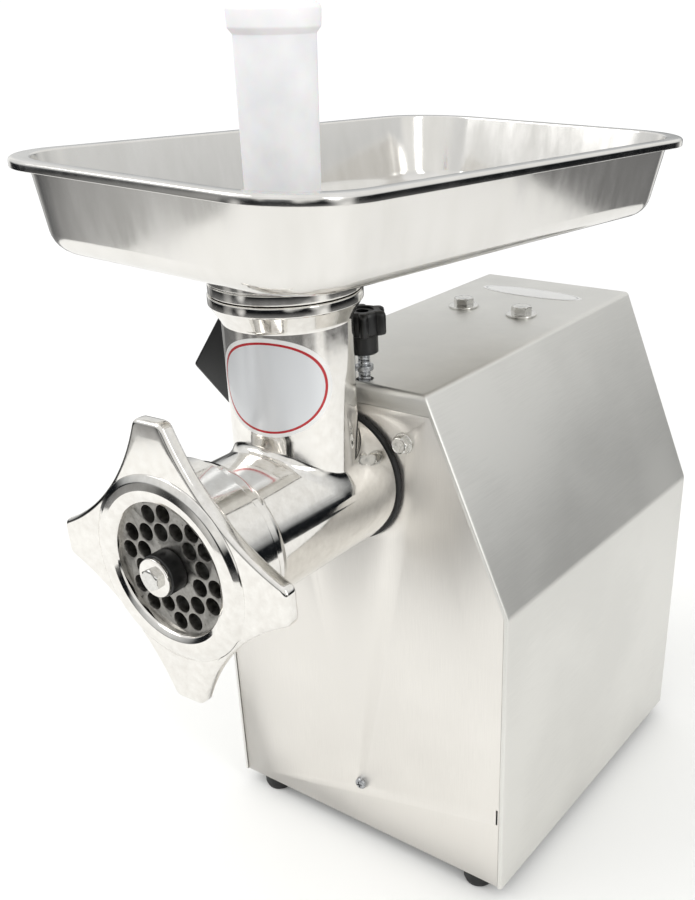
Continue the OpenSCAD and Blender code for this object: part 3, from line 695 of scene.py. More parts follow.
class TraySettings(bpy.types.PropertyGroup):
    """Pressed tray."""
    width: length("Width", "Width over the rim", 182.5)
    length: length("Length", "Length over the rim", 309)
    tip_back: angle("Tip Back", "Tip towards the back", -2.5)
    tip_side: angle("Tip Right", "Tip towards the right", 1.4)
    turn: angle("Turn", "Turn on the throat", -2.5)
    rim_height: length("Rim Height", "Height of the rim's middle over the floor", 388.1)
    centre_y: length("Centre", "Middle of the tray along the housing", -11.75)


class StageSettings(bpy.types.PropertyGroup):
    """Camera and light."""
    lens: bpy.props.FloatProperty(name="Lens", description="Focal length in mm on a 36 mm frame",
                                  default=43.18)
    camera: bpy.props.FloatVectorProperty(name="Camera", description="Place of the camera", size=3,
                                          default=(0.3129, -0.43685, 0.4513), unit="LENGTH")
    azimuth: angle("Azimuth", "Turn round the object", 37.22)
    elevation: angle("Elevation", "Height of the view", 27.75)
    roll: angle("Roll", "Roll of the camera", -2.09)
    shift: bpy.props.FloatVectorProperty(name="Shift", description="Lens shift", size=2,
                                         default=(-0.0352, 0.118))
    sky: bpy.props.FloatProperty(name="Sky", description="Strength of the soft light all round", default=1.05)
    key: bpy.props.FloatProperty(name="Key", description="Power of the main softbox in watts", default=9.0)


SETTINGS = {"grinder_housing": HousingSettings, "grinder_head": HeadSettings, "grinder_tray": TraySettings,
            "grinder_stage": StageSettings}


# ---------------------------------------------------------------- operators

class GRINDER_OT_finishes(bpy.types.Operator):
    """Makes every material and gives the frame's own parts theirs"""
    bl_idname = "grinder.finishes"
    bl_label = "Finishes"

    def execute(self, context):
        MATERIALS.update({
            "brushed_stainless": brushed_stainless("brushed stainless sheet", "#E3E2DE", "#DAD9D5", 0.42),
            "polished_stainless": turned_metal(
                "polished stainless fittings", "#E0DFDC", "#C9C8C4", 0.14, 0.004),
            "cast_polished": polished_casting("buffed tinned casting", "#ECEAE6", "#DDDAD5"),
            "tray_steel": pressed_stainless("pressed stainless tray", "#E4E2DF", "#DAD8D4", 0.11),
            "zinc_steel": turned_metal("zinc-plated steel", "#B9BBBD", "#97999C", 0.28),
            "gear_steel": turned_metal("hobbed gear steel", "#8D8E90", "#6E6F72", 0.3),
            "motor_laminations": varnished_laminations("varnished laminations", "#75655A", "#3C3531"),
            "motor_can": moulded_plastic("enamelled motor can", "#3A3D42", "#2E3035", 0.35, 300, 0.05),
            "cast_aluminium": turned_metal("die-cast aluminium", "#B4B4B2", "#939391", 0.45, 0.15, 500),
            "brass": turned_metal("turned brass", "#C9A45C", "#A9843F", 0.25),
            "black_rubber": moulded_plastic("moulded black rubber", "#1B1B1B", "#121212", 0.6, 700, 0.05),
            "black_plastic": moulded_plastic("moulded black ABS", "#0E0E0E", "#080808", 0.32, 1400, 0.008),
            "dark_plastic": moulded_plastic("dark nylon", "#2A2A2A", "#1F1F1F", 0.45),
            "green_plastic": moulded_plastic("green acetal", "#2E8B4A", "#22703A", 0.3),
            "red_plastic": moulded_plastic("red acetal", "#B3261E", "#921A14", 0.3),
            "white_plastic": moulded_plastic("milky polyethylene", "#F1F2F3", "#E7E8EA", 0.42, 500, 0.04,
                                             Subsurface_Weight=0.35, Subsurface_Scale=0.008),
            "label_white": oval_film("white enamel badge", "#EDEDEB", "#B9BABA", 0.45, 0.47, 0.25, 0.0),
            "label_film": oval_film("silvered print film", "#DADCDE", "#B4232A", 0.435, 0.458, 0.3, 0.35),
            "fan_plastic": moulded_plastic("pale nylon", "#D6D3CA", "#C4C1B8", 0.5),
        })
        for part in frame["record"]["subparts"]:
            node = frame["nodes"][part["node"]]
            coat_whole(node, finish_for(part["material_slot"]))
        return {"FINISHED"}


def side_slope(size):
    """How far a side leans in over its height, above the bend."""
    return (SHELL_HIGH.x - size.top_width / 2) / (SHELL_HIGH.z - EDGE_LOW - size.bend_front)


def shell_loop(half_base, half_top, bend, top, y):
    """Six corners round the housing at one depth, from the right foot over the top to the left foot."""
    right = [(half_base, EDGE_LOW), (half_base, EDGE_LOW + bend), (half_top, top)]
    return [Vector((x, y, z)) for x, z in right + [(-x, z) for x, z in reversed(right)]]


class GRINDER_OT_housing(bpy.types.Operator):
    """Folds the housing from one sheet, with hems, a top lip and rounded bends"""
    bl_idname = "grinder.housing"
    bl_label = "Housing"

    def execute(self, context):
        size = context.scene.grinder_housing
        half, top_half = SHELL_HIGH.x, size.top_width / 2
        top = SHELL_HIGH.z
        loops = [
            shell_loop(half - size.hem, top_half - size.hem * 0.8, size.bend_front, top - size.lip,
                       SHELL_LOW.y),
            shell_loop(half, top_half, size.bend_front, top, SHELL_LOW.y),
            shell_loop(half, top_half, size.bend_back, top, SHELL_HIGH.y),
            shell_loop(half - size.hem, top_half - size.hem, size.bend_back, top - size.hem, SHELL_HIGH.y)]
        # the front lip's lower corners follow the slope of the sides
        lean = side_slope(size)
        for k, sign in ((2, 1), (3, -1)):
            loops[0][k].x = sign * (top_half - size.hem + lean * size.lip)
        verts = [v for loop in loops for v in loop]
        faces = [(k * 6 + i, k * 6 + i + 1, k * 6 + i + 7, k * 6 + i + 6) for k in range(3) for i in range(5)]
        shell = make_object("housing_wrap", verts, faces)
        bevelled(shell, size.bend_radius / MM, 5, 15)
        wall = shell.modifiers.new("sheet", "SOLIDIFY")
        wall.thickness = size.sheet
        wall.offset = -1
        wall.use_even_offset = True
        apply_modifiers(shell)
        tidy_mesh(shell)
        rod = span("lock_screw")
        rod_centre = Vector(((rod[0].x + rod[1].x) / 2, (rod[0].y + rod[1].y) / 2, top))
        holes = [plug(4.3, -9, 9, rod_centre, segments=40)]
        for spot in solid_centres("top_bolt_washers"):
            holes.append(plug(3.2, -9, 9, Vector((spot.x, spot.y, top)), segments=32))
        carve(shell, holes)
        shade(shell, 28)
        settle(shell, "brushed_stainless", "housing", "housing_shell")
        return {"FINISHED"}


class GRINDER_OT_panel(bpy.types.Operator):
    """Makes the front panel, cut for the head, the bolts and the seam slot; its colour is painted paler than
    the wrap's, as painted light for the white floor it mirrors
    """
    bl_idname = "grinder.panel"
    bl_label = "Front Panel"

    def execute(self, context):
        size = context.scene.grinder_housing
        low, high = span("front_panel")
        gap = 0.3 * MM
        half = SHELL_HIGH.x - size.hem - gap
        top_half = size.top_width / 2 - size.hem - gap
        top_half += side_slope(size) * (size.lip + gap)
        bend = EDGE_LOW + size.bend_front
        outline = [(half, low.z), (half, bend), (top_half, high.z), (-top_half, high.z), (-half, bend),
                   (-half, low.z)]
        panel = extruded("front_sheet", outline, low.y, high.y)
        mouth = Vector((0, low.y, HEAD_Z))
        cutters = [plug(31, -9, 9, mouth, "front", 96)]
        cutters.append(box_piece("slot", Vector((half - 2 * MM, low.y - 5 * MM, EDGE_LOW + 44 * MM)),
                                 Vector((half - 1 * MM, high.y + 5 * MM, EDGE_LOW + 54 * MM))))
        for spot in solid_centres("flange_bolts") + solid_centres("front_panel_screw"):
            cutters.append(plug(2.6, -9, 9, Vector((spot.x, low.y, spot.z)), "front", 32))
        carve(panel, cutters)
        bevelled(panel, 0.35, 2, 40)
        settle(panel, "brushed_stainless", "housing", "front_panel")
        # painted light: the paler colour stands in for the white floor this sheet mirrors; its grain
        # direction and lower roughness are its own
        coat_whole(panel, brushed_stainless("front sheet, painted paler", "#EAE7E2", "#E2DFDA", 0.34,
                                            (30, 1, 1), 0.002))
        return {"FINISHED"}


class GRINDER_OT_head(bpy.types.Operator):
    """Casts the barrel and the throat as one body, with a fillet where they meet"""
    bl_idname = "grinder.head"
    bl_label = "Head"

    def execute(self, context):
        fillet = context.scene.grinder_head.fillet
        axis = Vector((0, PANEL_FRONT, HEAD_Z))
        reach = (PANEL_FRONT - PLATE_FRONT) / MM
        barrel = turned("cast_head", [(0, -34, 0), (30, -34, 1), (30, 2.3, 0),
                                      (BARREL_R_MM, 2.3, 0.8), (BARREL_R_MM, 86, 3), (37.4, 88.6, 1.2),
                                      (38, 91, 0.8), (38, reach - 3.5, 0.5),
                                      (0, reach - 3.5, 0)], axis, "front", 160)
        flange_top = (span("grinder_head")[1].z - HEAD_Z) / MM
        tube_r, barrel_r = THROAT_R_MM * MM, BARREL_R_MM * MM
        steps = 8
        segments = 160
        skirt = []
        for k in range(steps + 1):
            angle = math.pi / 2 * k / steps
            skirt.append((tube_r + fillet * (1 - math.sin(angle)), fillet * (1 - math.cos(angle))))
        loops = []
        for radius, rise in [(tube_r - 8 * MM, None)] + skirt:
            loop = []
            for i in range(segments):
                a = 2 * math.pi * i / segments
                x, y = radius * math.cos(a), radius * math.sin(a)
                base = math.sqrt(max(barrel_r ** 2 - x * x, 0))
                z = base - 6 * MM if rise is None else base + rise - 0.03 * MM
                loop.append(Vector((x, THROAT.y + y, HEAD_Z + z)))
            loops.append(loop)
        tube = rounded_profile([(tube_r, 40 * MM, 0), (tube_r, (flange_top - 12) * MM, 3 * MM),
                                (33.4 * MM, (flange_top - 4.8) * MM, 1.2 * MM),
                                (34 * MM, (flange_top - 4.2) * MM, 0.5 * MM),
                                (34 * MM, flange_top * MM, 0.7 * MM), (20 * MM, flange_top * MM, 0)], 4)
        for radius, height in tube:
            loops.append([Vector((radius * math.cos(2 * math.pi * i / segments),
                                  THROAT.y + radius * math.sin(2 * math.pi * i / segments), HEAD_Z + height))
                          for i in range(segments)])
        verts, faces = capped(loops)
        throat = make_object("throat", verts, faces)
        carve(barrel, [throat], "UNION")
        bores = [
            plug(26, -8, reach + 5, axis, "front", 96),
            plug(34.7, reach - 16, reach + 5, axis, "front", 96),
            plug(13.5, -36, 0, axis, "front", 64),
            turned("bore", [(0, 0, 0), (25.5, 0, 0), (25.5, 90, 0), (27.3, 90, 0), (27.3, 110, 0),
                            (0, 110, 0)],
                   Vector((0, THROAT.y, HEAD_Z)), "up", 96)]
        bores[-1].data.transform(Matrix.Translation((0, 0, (flange_top - 100) * MM)))
        carve(barrel, bores)
        tidy_mesh(barrel)
        shade(barrel, 30)
        settle(barrel, "cast_polished", "grinder_head", "grinder_head")
        return {"FINISHED"}


class GRINDER_OT_label(bpy.types.Operator):
    """Wraps a blank oval film round the throat"""
    bl_idname = "grinder.label"
    bl_label = "Throat Label"

    def execute(self, context):
        low, high = span("throat_label")
        centre = Vector((0, THROAT.y, (low.z + high.z) / 2))
        half_height = (high.z - low.z) / 2
        radius, thick = 29.02 * MM, 0.18 * MM
        half_arc = math.radians(58)
        aim = math.radians(-70)

        def place(u, v, share, layer):
            r = radius + thick * layer
            turn = aim + u * half_arc
            return centre + Vector((r * math.cos(turn), r * math.sin(turn), v * half_height))

        film = oval_sheet("throat_film", "film", 14, place)
        settle(film, "label_film", "grinder_head", "throat_label")
        return {"FINISHED"}


def oval_sheet(name, chart_name, rings, place, spokes=96):
    """A thin oval of two layers, with a UV map from its middle.

    place(u, v, share, layer) sets a point down; share is how far out it lies, from 0 to 1."""
    verts, faces, spots = [], [], []
    for layer in (0, 1):
        for k in range(rings + 1):
            share = k / rings
            for i in range(spokes):
                a = 2 * math.pi * i / spokes
                u, v = share * math.cos(a), share * math.sin(a)
                verts.append(place(u, v, share, layer))
                spots.append((0.5 + u / 2, 0.5 + v / 2))
    per = (rings + 1) * spokes
    for layer in (0, 1):
        for k in range(rings):
            for i in range(spokes):
                j = (i + 1) % spokes
                a = layer * per + k * spokes
                faces.append((a + i, a + j, a + spokes + j, a + spokes + i))
    rim = rings * spokes
    for i in range(spokes):
        j = (i + 1) % spokes
        faces.append((rim + i, rim + j, per + rim + j, per + rim + i))
    mesh = bpy.data.meshes.new(name)
    mesh.from_pydata([tuple(v) for v in verts], [], faces)
    chart = mesh.uv_layers.new(name=chart_name)
    for loop in mesh.loops:
        chart.data[loop.index].uv = spots[loop.vertex_index]
    piece = add_object(name, mesh)
    tidy_mesh(piece)
    shade(piece, 40)
    return piece


def star_outline(reach, half_tip, valley, corner, arc_steps=22):
    """Outline of the four-eared nut: flat tips joined by hollow arcs, with rounded corners."""
    across = (reach + half_tip) / math.sqrt(2)
    aside = (reach - half_tip) / math.sqrt(2)
    distance = (across ** 2 + aside ** 2 - valley ** 2) / 2 / (across - valley)
    radius = distance - valley
    centre = Vector((distance, distance)) / math.sqrt(2)
    start = Vector((reach, half_tip)) - centre
    end = Vector((half_tip, reach)) - centre
    sweep = start.angle_signed(end)
    arc = []
    for k in range(arc_steps + 1):
        a = -sweep * k / arc_steps
        arc.append(centre + Vector((start.x * math.cos(a) - start.y * math.sin(a),
                                    start.x * math.sin(a) + start.y * math.cos(a))))
    quarter = [Vector((reach, -half_tip * 0.33)), Vector((reach, half_tip * 0.33))] + arc
    points = []
    for k in range(4):
        c, s = math.cos(k * math.pi / 2), math.sin(k * math.pi / 2)
        for i, p in enumerate(quarter):
            soft = corner if i in (2, len(quarter) - 1) else 0
            points.append((p.x * c - p.y * s, p.x * s + p.y * c, soft))
    return rounded_corners(points, corner)


def rounded_corners(points, corner):
    """Rounds the marked corners of an outline that has arcs of short steps beside them."""
    count = len(points)
    marked = [i for i, p in enumerate(points) if p[2] > 0]
    drop = set()
    made = {}
    for i in marked:
        here = Vector(points[i][:2])
        ends = []
        for step in (-1, 1):
            j = i
            while (Vector(points[(j + step) % count][:2]) - here).length < corner * 0.8:
                j += step
                drop.add(j % count)
            far = Vector(points[(j + step) % count][:2])
            ends.append(here + (far - here).normalized() * corner * 0.8)
        made[i] = [tuple((ends[0] * (1 - t) ** 2 + here * 2 * t * (1 - t) + ends[1] * t ** 2))
                   for t in (k / 8 for k in range(9))]
    out = []
    for i, p in enumerate(points):
        if i in made:
            out += made[i]
        elif i not in drop:
            out.append(p[:2])
    return out


def inset_outline(points, distance):
    """An outline drawn in by a distance along its own normals."""
    count = len(points)
    out = []
    for i in range(count):
        before, here, after = (Vector(points[(i + k) % count]) for k in (-1, 0, 1))
        a, b = (here - before).normalized(), (after - here).normalized()
        normal = Vector((a.y + b.y, -a.x - b.x))
        if normal.length < 1e-9:
            normal = Vector((a.y, -a.x))
        normal.normalize()
        out.append(here - normal * distance)
    return out


class GRINDER_OT_ring_nut(bpy.types.Operator):
    """Casts the star-shaped ring nut, with flat ears round a raised ring"""
    bl_idname = "grinder.ring_nut"
    bl_label = "Ring Nut"

    def execute(self, context):
        size = context.scene.grinder_head
        turn = Matrix.Rotation(size.nut_turn, 2)
        outline = [tuple(turn @ Vector(p)) for p in star_outline(size.ear_reach, size.ear_half, 44 * MM,
                                                                   size.nut_corner)]
        angles = [math.atan2(p[1], p[0]) for p in outline]

        def flat(points, depth):
            return [Vector((p[0], PANEL_FRONT - depth, HEAD_Z + p[1])) for p in points]

        def circle(radius_mm, depth_mm):
            return flat([(radius_mm * MM * math.cos(a), radius_mm * MM * math.sin(a)) for a in angles],
                        depth_mm * MM)

        face = (PANEL_FRONT - PLATE_FRONT) / MM
        front = face + 1.9
        back = face - 4.6
        edge = size.nut_edge / MM
        loops = [circle(38.1, face - 22), circle(41.6, face - 22), circle(42.3, face - 21.7),
                 circle(42.5, face - 21), circle(42.5, back - 1.2), circle(42.7, back - 0.5),
                 circle(43.2, back)]
        for inset, depth in ((1.2, back), (0.5, back + 0.25), (0.1, back + 0.8), (0, back + 1.6)):
            loops.append(flat(inset_outline(outline, inset * MM), depth * MM))

        steps = 6
        for k in range(steps + 1):
            angle = math.pi / 2 * k / steps
            inner = inset_outline(outline, edge * (1 - math.cos(angle)) * MM)
            loops.append(flat(inner, (front - edge * (1 - math.sin(angle))) * MM))
        inner = inset_outline(outline, edge * MM)
        for share in (0.25, 0.5, 0.75, 0.97):
            loops.append(flat([p.lerp(Vector((math.cos(a), math.sin(a))) * 43.2 * MM, share)
                               for p, a in zip(inner, angles)], front * MM))
        ring = rounded_profile([(43, front, 0), (42.7, front + 0.5, 0.4), (40, front + 2.0, 3),
                                (36.5, front + 2.6, 2.5), (33.4, front + 2.3, 1.2), (31.2, front + 1.2, 0.8),
                                (30.7, front + 0.4, 0.3), (30.7, face, 0.05)], 5)
        for radius, depth in ring:
            loops.append(circle(radius, depth))
        loops.append(circle(38.1, face))
        verts, faces = ring_of_loops(loops)
        nut = make_object("star_nut", verts, faces, 40)
        settle(nut, "cast_polished", "ring_nut", "ring_nut")
        return {"FINISHED"}


class GRINDER_OT_plate(bpy.types.Operator):
    """Drills the hole plate's hexagonal grid with a geometry tree"""
    bl_idname = "grinder.plate"
    bl_label = "Hole Plate"

    def execute(self, context):
        low, high = span("hole_plate")
        pitch = 9.5 * MM
        disc = run_tree("ground_plate", perforation_tree(), {
            "Disc Radius": PLATE_R, "Thickness": high.y - low.y, "Centre Bore": 6.06 * MM,
            "Hole Radius": 4.0 * MM, "Pitch": pitch, "Inner Reach": 1.2 * pitch, "Outer Reach": 2.8 * pitch,
            "Turn": math.radians(13.5), "Finish": finish_for("zinc_steel")})
        bevelled(disc, 0.3, 2, 40)
        move_mesh(disc, Matrix.Translation(middle("hole_plate")) @ AXES["front"].to_4x4())
        slot = box_piece("slot", Vector((-2.1 * MM, low.y - 1 * MM, low.z - 1 * MM)),
                         Vector((2.1 * MM, high.y + 1 * MM, low.z + 2.2 * MM)))
        carve(disc, [slot])
        shade(disc, 35)
        settle(disc, "polished_stainless", "grinder_head", "hole_plate")
        coat_whole(disc, turned_metal("ground plate steel", "#A3A19D", "#7E7C78", 0.32, 0.01, 500))
        return {"FINISHED"}


def hex_loop(radius, height, turn=0.0, bulge=None, per_side=6):
    """A hexagon with several points a side; bulge is the radius of a circle that trims its corners."""
    points = []
    for k in range(6):
        a0, a1 = (turn + math.radians(60 * (k + s)) for s in (0, 1))
        p0 = Vector((math.cos(a0), math.sin(a0))) * radius
        p1 = Vector((math.cos(a1), math.sin(a1))) * radius
        for s in range(per_side):
            p = p0.lerp(p1, s / per_side)
            if bulge and p.length > bulge:
                p = p.normalized() * bulge
            points.append(Vector((p.x, p.y, height)))
    return points


def hex_bolt(name, flat_mm, height_mm, washer=None, shank_mm=0.0, shank_r_mm=3.0, turn=0.3, dish=0.35):
    """A hexagon head with a turned chamfer, on z = 0; washer is its (outer radius, thickness) below that."""
    corner = flat_mm / math.sqrt(3) * MM
    apothem = flat_mm / 2 * MM
    high = height_mm * MM
    loops = [hex_loop(corner, 0.0, turn, corner * 0.985), hex_loop(corner, 0.3 * MM, turn),
             hex_loop(corner, high - 0.9 * MM, turn),
             hex_loop(corner, high - 0.55 * MM, turn, corner * 0.965),
             hex_loop(corner, high - 0.2 * MM, turn, apothem * 1.01),
             hex_loop(apothem * 0.93, high, turn, apothem * 0.92),
             hex_loop(apothem * 0.6, high - dish * 0.3 * MM, turn, apothem * 0.58),
             hex_loop(apothem * 0.3, high - dish * MM, turn, apothem * 0.28)]
    verts, faces = capped(loops)
    parts = [make_object(name, verts, faces, 32)]
    if washer:
        parts.append(turned(name, [(2.5, -washer[1], 0), (washer[0], -washer[1], 0.25), (washer[0], 0, 0.4),
                                   (2.5, 0, 0)], ORIGIN, segments=64, smooth_angle=30))
    if shank_mm:
        parts.append(turned(name, [(0, -shank_mm, 0), (shank_r_mm, -shank_mm, 0.3), (shank_r_mm, 0.2, 0),
                                   (0, 0.2, 0)], ORIGIN, segments=40))
    return join(name, parts)


class GRINDER_OT_fasteners(bpy.types.Operator):
    """Sets down the bolts, washers, panel screws and the worm's bolt"""
    bl_idname = "grinder.fasteners"
    bl_label = "Fasteners"

    def execute(self, context):
        top = SHELL_HIGH.z
        low, high = span("top_bolt_washers")
        washer_h = (high.z - low.z) / MM
        spots = [Vector((c.x, c.y, top + washer_h * MM)) for c in solid_centres("top_bolt_washers")]
        top_bolt = hex_bolt("b", 10, 4.2, None, 11, 3, 0.35)
        bolts = repeated("top_hex_bolts", top_bolt, spots, "polished_stainless")
        settle(bolts, "polished_stainless", "housing", "top_bolts")
        washer = turned("w", [(3.2, 0, 0), (8.6, 0, 0.3), (8.6, washer_h, 0.4), (3.2, washer_h, 0.1)],
                        ORIGIN, segments=72, smooth_angle=30)
        washers = repeated("top_washers", washer, [p - Vector((0, 0, washer_h * MM)) for p in spots],
                           "polished_stainless")
        settle(washers, "polished_stainless", "housing", "top_bolt_washers")

        face = span("flange_washers")[0].y
        flat_bolt = hex_bolt("b", 8, 3.5, None, 16, 2.5, 0.2)
        move_mesh(flat_bolt, AXES["front"].to_4x4())
        spots = [Vector((c.x, face, c.z)) for c in solid_centres("flange_washers")]
        bolts = repeated("flange_hex_bolts", flat_bolt, spots, "polished_stainless")
        settle(bolts, "polished_stainless", "housing", "flange_bolts")
        ring = turned("w", [(2.6, -1, 0), (5.2, -1, 0.2), (5.2, 0, 0.3), (2.6, 0, 0)], ORIGIN,
                      "front", 56, 30)
        washers = repeated("flange_rings", ring, spots, "polished_stainless")
        settle(washers, "polished_stainless", "housing", "flange_washers")

        for name, node, facing in (("front_cross_screw", "front_panel_screw", "front"),
                                   ("rear_cross_screws", "rear_panel_screws", "back")):
            low, high = span(node)
            seat = low.y + 2.4 * MM if facing == "front" else high.y - 2.4 * MM
            spots = [Vector((c.x, seat, c.z)) for c in solid_centres(node)]
            screw = cross_screw("s")
            move_mesh(screw, AXES[facing].to_4x4())
            screws = repeated(name, screw, spots, "zinc_steel")
            settle(screws, "zinc_steel", "housing", node)

        seat = span("worm_washer")[0].y
        tall = (seat - span("worm_bolt")[0].y) / MM
        centre_bolt = hex_bolt("worm_hex_bolt", 9, tall, None, 2, 3, 0.5, 0.2)
        move_mesh(centre_bolt, Matrix.Translation((0, seat, HEAD_Z)) @ AXES["front"].to_4x4())
        settle(centre_bolt, "polished_stainless", "worm", "worm_bolt")
        low, high = span("worm_washer")
        radius, thick = (high.x - low.x) / 2 / MM, (high.y - low.y) / MM
        washer = turned("worm_face_washer", [(3, 0, 0), (radius, 0, 0.25), (radius, thick, 0.35),
                                             (3, thick, 0)],
                        Vector((0, high.y, HEAD_Z)), "front", 72, 30)
        settle(washer, "zinc_steel", "worm", "worm_washer")
        coat_whole(washer, finish_for("cast_polished"))
        low, high = span("worm_bush")
        radius, thick = (high.x - low.x) / 2 / MM, (high.y - low.y) / MM
        bush = turned("worm_end_bush", [(6, 0, 0), (radius, 0, 0.6), (radius, thick, 0.6), (6, thick, 0)],
                      Vector((0, high.y, HEAD_Z)), "front", 72, 30)
        settle(bush, "black_plastic", "worm", "worm_bush")
        return {"FINISHED"}


def cross_screw(name):
    """A pan head with a cross recess, sitting on z = 0 and pointing up."""
    head = turned(name, [(0, -8, 0), (2, -8, 0.3), (2, 0, 0), (3.6, 0, 0.1), (3.3, 1.7, 1.0), (1.6, 2.4, 1.5),
                         (0, 2.4, 0)], ORIGIN, segments=56)
    blades = []
    for turn in (0.25, 0.25 + math.pi / 2):
        blade = box_piece("blade", Vector((-1.9, -0.42, 1.2)) * MM, Vector((1.9, 0.42, 4)) * MM)
        move_mesh(blade, Matrix.Rotation(turn, 4, "Z"))
        blades.append(blade)
    carve(head, blades)
    shade(head, 30)
    return head


def tray_matrix(size):
    tip = Euler((size.tip_back, size.tip_side, size.turn), "XYZ").to_matrix().to_4x4()
    return Matrix.Translation((0, size.centre_y, size.rim_height)) @ tip


class GRINDER_OT_tray(bpy.types.Operator):
    """Presses the tray from one sheet: a rolled rim, leaning walls, a soft corner and a flat floor"""
    bl_idname = "grinder.tray"
    bl_label = "Tray"

    def execute(self, context):
        size = context.scene.grinder_tray
        half_x, half_y = size.width / 2, size.length / 2
        matrix = tray_matrix(size)
        # millimetres in from the rim and below it: up the inside, over the flange, down the outside
        section = rounded_profile([(44, FLOOR_TOP_MM, 0), (13.8, FLOOR_TOP_MM, 10), (6.7, 0, 0.9),
                                   (0, 0, 1.5),
                                   (0, -3.9, 0.3), (1.2, -3.9, 0.3), (1.2, -1.2, 0.5), (5.5, -1.2, 0.6),
                                   (12.8, FLOOR_UNDER_MM, 11.2), (44, FLOOR_UNDER_MM, 0)], 7)
        loops = []
        for inset, height in section:
            corner = 38 - 0.11 * inset if inset < 5.5 else max(37.4 - 1.03 * (inset - 5.5), 4)
            outline = rounded_rectangle(half_x - inset * MM, half_y - inset * MM, corner * MM)
            loops.append([Vector((x, y, height * MM)) for x, y in outline])
        # the floor runs in to the hole over the throat
        hole = matrix.inverted() @ Vector((0, THROAT.y, span("tray_ring")[1].z))
        hole_r = 26.2 * MM
        count = len(loops[0])

        def towards_hole(loop, share, height):
            out = []
            for p in loop:
                spoke = Vector((p.x - hole.x, p.y - hole.y))
                q = Vector((hole.x, hole.y)) + spoke.normalized() * hole_r
                out.append(Vector((p.x + (q.x - p.x) * share, p.y + (q.y - p.y) * share, height * MM)))
            return out

        inner = [towards_hole(loops[0], s, FLOOR_TOP_MM) for s in (1, 0.97, 0.9, 0.7, 0.4, 0.15)]
        outer = [towards_hole(loops[-1], s, FLOOR_UNDER_MM) for s in (0.15, 0.4, 0.7, 0.9, 0.97, 1)]
        verts, faces = ring_of_loops(inner + loops + outer)
        tray = make_object("pressed_tray", [matrix @ v for v in verts], faces, 45)
        settle(tray, "tray_steel", "tray", "tray_pan")

        joint = span("tray_ring")[0].z + 18 * MM
        collar = turned("tray_collar", [
            (26, -17.9, 0.2), (27, -17.9, 0.2), (27, 0.35, 0), (33.5, 0.35, 0.6), (33.5, 4.5, 0.3),
            (33.1, 4.8, 0.2), (33.1, 5.2, 0.2), (33.5, 5.5, 0.3), (33.5, 15.6, 0.3), (26, 15.6, 0.2)],
            Vector((0, THROAT.y, joint)), "up", 128, 32)
        # its top lies against the tray's tipped underside
        under = matrix @ Vector((0, 0, FLOOR_UNDER_MM * MM))
        normal = matrix.to_3x3() @ Vector((0, 0, 1))
        for vert in collar.data.vertices:
            if vert.co.z > joint + 12 * MM:
                offset = vert.co - under
                plane = under.z - (normal.x * offset.x + normal.y * offset.y) / normal.z
                vert.co.z = plane + vert.co.z - joint - 15.4 * MM
        settle(collar, "polished_stainless", "tray", "tray_ring")
        coat_whole(collar, finish_for("cast_polished"))
        return {"FINISHED"}


class GRINDER_OT_pusher(bpy.types.Operator):
    """Moulds the milky pusher, with a soft top flange"""
    bl_idname = "grinder.pusher"
    bl_label = "Pusher"

    def execute(self, context):
        low, high = span("pusher")
        tall = (high.z - low.z) / MM - 0.7
        rod = turned("moulded_pusher", [
            (0, 0, 0), (22.9, 0, 2), (24.4, 4, 2), (24.4, 45, 5), (15.6, 72, 8), (16.6, tall - 12, 0.8),
            (18.5, tall - 9.6, 1.8), (18.8, tall - 2.4, 2.4), (16.0, tall, 3), (0, tall, 0)],
            ORIGIN, "up", 96, 50, 7)
        # it leans on the wall of the throat
        lean, towards = math.radians(1), math.radians(37)
        move_mesh(rod, Matrix.Translation((0, THROAT.y, low.z + 0.4 * MM))
                  @ Matrix.Rotation(towards, 4, "Z") @ Matrix.Rotation(lean, 4, "Y"))
        settle(rod, "white_plastic", "pusher", "pusher")
        return {"FINISHED"}


class GRINDER_OT_lock(bpy.types.Operator):
    """Makes the lock screw's lobed knob, its threaded rod and thin nut"""
    bl_idname = "grinder.lock"
    bl_label = "Lock Screw"

    def execute(self, context):
        centre = middle("lock_screw")
        base = span("lock_knob")[0].z
        lobes, segments = 6, 144

        def lobed(radius_mm, lobe_mm, height_mm):
            loop = []
            for i in range(segments):
                a = 2 * math.pi * i / segments
                swell = max(0.0, math.cos((a - math.radians(10)) * lobes)) ** 0.7
                r = (radius_mm + lobe_mm * swell) * MM
                loop.append(Vector((centre.x + r * math.cos(a), centre.y + r * math.sin(a),
                                    base + height_mm * MM)))
            return loop

        rows = [(3, 0, 0), (6.4, 0, 0), (7, 0, 0.5), (7, 0, 8.6), (7.4, 0.2, 9.1), (8.3, 2.2, 9.4),
                (8.6, 3.0, 9.8),
                (8.8, 3.2, 10.6), (8.8, 3.2, 18.4), (8.6, 3.0, 19.6), (8.1, 2.4, 20.3), (7.3, 1.4, 20.5),
                (6.0, 0, 20.5), (5.5, 0, 20.2), (5.5, 0, 19.7), (3, 0, 19.7)]
        verts, faces = ring_of_loops([lobed(*row) for row in rows])
        knob = make_object("lobed_knob", verts, faces, 40)
        settle(knob, "black_plastic", "lock_screw", "lock_knob")
        low, high = span("lock_screw")
        length = high.z - low.z
        pitch = 1.25 * MM
        rod = run_tree("threaded_rod", thread_tree(), {
            "Core Radius": 2.62 * MM, "Length": length - 1 * MM, "Turns": (length - 1 * MM) / pitch,
            "Tooth": 0.42 * MM, "Finish": finish_for("zinc_steel")})
        move_mesh(rod, Matrix.Translation((centre.x, centre.y, low.z + 0.5 * MM)))
        settle(rod, "zinc_steel", "lock_screw", "lock_screw")
        foot = span("lock_nut")[0].z
        nut = turned("thin_lock_nut", [(3, 0, 0), (4.4, 0, 0.4), (4.4, 2.5, 0.4), (3, 2.5, 0)],
                     Vector((centre.x, centre.y, foot)), "up", 48, 30)
        settle(nut, "zinc_steel", "lock_screw", "lock_nut")
        return {"FINISHED"}


